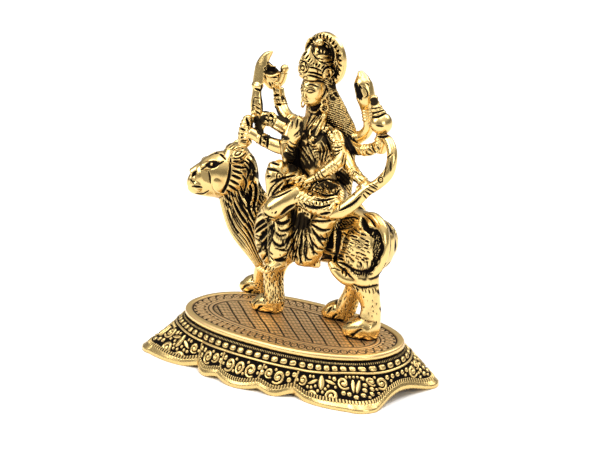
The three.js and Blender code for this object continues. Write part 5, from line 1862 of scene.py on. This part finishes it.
def platform_material(finish, name):
    """Duller plating scribed with a lattice of crossing lines and rows of dots between them."""
    g = Graph(name)
    x, y, z = (g.node("ShaderNodeSeparateXYZ", {}, [g.place()], axis) for axis in range(3))
    speck = g.noise(900.0, 4.0)
    wobble = (g.noise(60.0, 2.0) - 0.5) * 0.0012

    def family(angle, pitch, width):
        """Lines at an angle to x: 1 in the line, from the distance to the nearest whole pitch."""
        angle = math.radians(angle)
        across = (y * math.cos(angle) - x * math.sin(angle) + wobble) * (1 / pitch)
        return 1.0 - across.fold().rise(width / pitch * 0.4, width / pitch)

    strong = family(-37, 0.0052, 0.00058)
    weak = family(33, 0.0036, 0.0005)
    dots = family(-37, 0.0017, 0.0005) * family(30, 0.0017, 0.0006)
    across = (x - PLATFORM_SHIFT[0] * MM) * (1 / LATTICE_HALF[0])
    over = (y - PLATFORM_SHIFT[1] * MM) * (1 / LATTICE_HALF[1])
    oval = (across * across).power(PLATFORM_ROUNDNESS / 2) + (over * over).power(PLATFORM_ROUNDNESS / 2)
    inside = 1.0 - oval.rise(0.94, 0.97)
    on_top = z.rise(PLATFORM_TOP * MM - 0.0005, PLATFORM_TOP * MM - 0.0003)
    lines = (strong * 0.95).maximum(weak * 0.75).maximum(dots * 0.75) * inside
    ink = lines * on_top * (speck * 1.3 + 0.4)
    # Folds hold patina; the wide recess_deep term paints shade where the figure stands close over the platform.
    hollow = g.attribute("recess_fold") * 2.0 + g.attribute("recess_deep") * 0.8
    patina = (hollow + (speck - 0.5) * 0.25).rise(0.25, 0.6).maximum(ink).maximum(g.attribute("patina"))
    lip = z.rise(PLATFORM_TOP * MM + 0.0001, PLATFORM_TOP * MM + 0.0003)
    dull = g.mix(on_top * (1.0 - lip) * (0.6 + speck * 0.3), colour(finish.gold), colour(finish.platform))
    base = g.mix(patina, dull, colour(finish.patina))
    rough = patina * 0.3 + (finish.polish + 0.04) + on_top * 0.16
    normal = g.relief(ink, 0.6, 0.0003, sunk=True)
    return g.set(Base_Color=base, Metallic=1.0, Roughness=rough, Normal=normal)


# Operators


def finished(piece, node):
    """Tells the frame what the piece rides, and hides the node that it replaces."""
    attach(piece, "root")
    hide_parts(node)
    return piece


def figure_piece(name, parts, cell=None):
    """One piece of the figure, cast from its parts."""
    return finished(cast(name, parts, cell), "durga_on_lion")


class FIGURINE_OT_skirt(bpy.types.Operator):
    """The plinth's lobed skirt with beads, scrollwork and a hatched border"""

    bl_idname = "figurine.skirt"
    bl_label = "Plinth skirt"

    def execute(self, context):
        for name, build in (("plinth_moulding", plinth_moulding), ("plinth_skirt", plinth_skirt)):
            piece = make_object(name, *build(context.scene.figurine_plinth))
            finished(piece, "plinth")
        return {"FINISHED"}


class FIGURINE_OT_platform(bpy.types.Operator):
    """The plinth's oval platform"""

    bl_idname = "figurine.platform"
    bl_label = "Plinth platform"

    def execute(self, context):
        piece = make_object("plinth_platform", *plinth_platform(context.scene.figurine_plinth))
        finished(piece, "plinth")
        return {"FINISHED"}


class FIGURINE_OT_lion(bpy.types.Operator):
    """The walking lion with its mane, tail and saddle cloth"""

    bl_idname = "figurine.lion"
    bl_label = "Lion"

    def execute(self, context):
        chase_lion_head(figure_piece("lion_head", lion_head(), 0.2))
        chase_mane(figure_piece("lion_mane", lion_mane()))
        body = [*lion_body(), *lion_legs(), lion_tail(), saddle_cloth()]
        lion = figure_piece("lion_body", body, 0.34)
        chase_lion_body(lion)
        chase_far_fur(lion)
        return {"FINISHED"}


class FIGURINE_OT_goddess(bpy.types.Operator):
    """The goddess with her crown, arms and drapery"""

    bl_idname = "figurine.goddess"
    bl_label = "Goddess"

    def execute(self, context):
        body = figure_piece("goddess_body", [*torso(), *garland(), *right_arms(), *left_arms()], 0.27)
        chase_goddess_body(body)
        chase_armlet(body)
        dress = figure_piece("goddess_dress", [*right_leg(), *left_leg(), *skirt()], 0.27)
        chase_dress(dress)
        chase_hem(dress)
        crowned = figure_piece("goddess_head", [*head(), *earrings(), crest(), *crown()], 0.18)
        chase_crown(crowned)
        chase_crest(crowned)
        chase_face(crowned)
        veil = figure_piece("goddess_veil", hair())
        store(veil.data, "grain_and_shade", np.ones(len(veil.data.vertices)))
        chase_veil(veil)
        return {"FINISHED"}


class FIGURINE_OT_attributes(bpy.types.Operator):
    """What the hands hold: conch, mace, bow, sword, bowl and bundle"""

    bl_idname = "figurine.attributes"
    bl_label = "Attributes"

    def execute(self, context):
        parts = [conch(), *mace(), *bow(), sword(), *bowl(), bundle()]
        chase_attributes(figure_piece("goddess_attributes", parts, 0.21))
        return {"FINISHED"}


class FIGURINE_OT_finish(bpy.types.Operator):
    """Polished plating, black patina and painted shade on every piece"""

    bl_idname = "figurine.finish"
    bl_label = "Antique gold finish"

    def execute(self, context):
        finish = context.scene.figurine_finish
        pieces = [bpy.data.objects[name] for name in PIECES]
        for piece in pieces:
            if "plinth" not in piece.name:
                mark_cavities(piece)
        mark_recesses(pieces)
        figure = gold_material(finish, "antique_gold")
        plinth = gold_material(finish, "antique_gold_plinth", satin=0.05)
        platform = platform_material(finish, "antique_gold_platform")
        for piece in pieces:
            piece.data.materials.clear()
            if piece.name == "plinth_platform":
                piece.data.materials.append(platform)
            else:
                piece.data.materials.append(plinth if "plinth" in piece.name else figure)
        return {"FINISHED"}


PIECES = (
    "plinth_moulding", "plinth_skirt", "plinth_platform", "lion_head", "lion_mane", "lion_body", "goddess_body",
    "goddess_dress", "goddess_head", "goddess_veil", "goddess_attributes",
)


def place_camera():
    """The camera at its distance from the target, looking back along the view's axis."""
    camera = bpy.data.cameras.new("camera")
    camera.lens = CAMERA_LENS
    camera.clip_end = 10
    holder = bpy.data.objects.new("camera", camera)
    bpy.context.scene.collection.objects.link(holder)
    back = view_axes()[2]
    holder.location = (CAMERA_TARGET + back * CAMERA_DISTANCE) * MM
    holder.rotation_euler = Vector(back).to_track_quat("Z", "Y").to_euler()
    bpy.context.scene.camera = holder


def soft_light(name, place, size, power):
    """A square area light aimed at the figure's middle; place and size in metres."""
    light = bpy.data.lights.new(name, "AREA")
    light.size = size
    light.energy = power
    holder = bpy.data.objects.new(name, light)
    bpy.context.scene.collection.objects.link(holder)
    holder.location = place
    aim = Vector(place) - Vector((0, 0, 0.07))
    holder.rotation_euler = aim.to_track_quat("Z", "Y").to_euler()


def studio_world():
    """Grey at the horizon and below, darker just above it and bright overhead."""
    world = bpy.data.worlds.new("studio")
    world.use_nodes = True
    tree = world.node_tree
    place = tree.nodes.new("ShaderNodeTexCoord")
    split = tree.nodes.new("ShaderNodeSeparateXYZ")
    ramp = tree.nodes.new("ShaderNodeValToRGB")
    tree.links.new(place.outputs["Generated"], split.inputs[0])
    tree.links.new(split.outputs["Z"], ramp.inputs[0])
    stops = ((0.0, 0.45), (0.12, 0.2), (0.4, 0.3), (0.75, 0.9))
    elements = ramp.color_ramp.elements
    elements[0].position, elements[1].position = stops[0][0], stops[-1][0]
    for position, _ in stops[1:-1]:
        elements.new(position)
    for element, (_, value) in zip(elements, stops):
        element.color = (value, value, value, 1)
    tree.links.new(ramp.outputs[0], tree.nodes["Background"].inputs["Color"])
    return world


FLOOR_HALF = 3000.0


class FIGURINE_OT_stage(bpy.types.Operator):
    """Pale floor, soft lights and the camera"""

    bl_idname = "figurine.stage"
    bl_label = "Stage"

    def execute(self, context):
        g = Graph("floor")
        g.set(Base_Color=(0.93, 0.93, 0.93, 1), Roughness=0.9)
        corners = np.array([[-1, -1, 0], [1, -1, 0], [1, 1, 0], [-1, 1, 0]]) * FLOOR_HALF
        floor = make_object("floor", corners, np.array([[0, 1, 2], [0, 2, 3]]))
        floor.data.materials.append(g.material)
        context.scene.world = studio_world()
        context.scene.view_settings.view_transform = "Standard"
        soft_light("key", (-0.7, -0.9, 0.9), 0.8, 9.4)
        soft_light("fill", (1.1, -0.5, 0.5), 0.5, 3)
        soft_light("back", (0.3, 0.9, 1.0), 0.7, 6)
        soft_light("top", (0.0, -0.1, 1.3), 0.9, 7.4)
        place_camera()
        return {"FINISHED"}


class FIGURINE_PT_panel(bpy.types.Panel):
    """The figurine's pieces, sizes and colours"""

    bl_label = "Figurine"
    bl_idname = "FIGURINE_PT_panel"
    bl_space_type = "VIEW_3D"
    bl_region_type = "UI"
    bl_category = "Figurine"

    def draw(self, context):
        layout = self.layout
        for settings in (context.scene.figurine_plinth, context.scene.figurine_finish):
            for key in settings.__annotations__:
                layout.prop(settings, key)
        for operator in STEPS:
            layout.operator(operator.bl_idname)


STEPS = (
    FIGURINE_OT_stage, FIGURINE_OT_skirt, FIGURINE_OT_platform, FIGURINE_OT_lion,
    FIGURINE_OT_goddess, FIGURINE_OT_attributes, FIGURINE_OT_finish,
)
CLASSES = (PlinthSizes, Finish, *STEPS, FIGURINE_PT_panel)


def register():
    """Registers the classes and gives the scene its sizes and colours."""
    for item in CLASSES:
        bpy.utils.register_class(item)
    bpy.types.Scene.figurine_plinth = bpy.props.PointerProperty(type=PlinthSizes)
    bpy.types.Scene.figurine_finish = bpy.props.PointerProperty(type=Finish)


def unregister():
    """Takes back what register did."""
    del bpy.types.Scene.figurine_plinth
    del bpy.types.Scene.figurine_finish
    for item in reversed(CLASSES):
        bpy.utils.unregister_class(item)


def main():
    """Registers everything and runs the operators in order."""
    register()
    for step in STEPS:
        group, name = step.bl_idname.split(".")
        getattr(getattr(bpy.ops, group), name)()


if __name__ == "__main__":
    main()
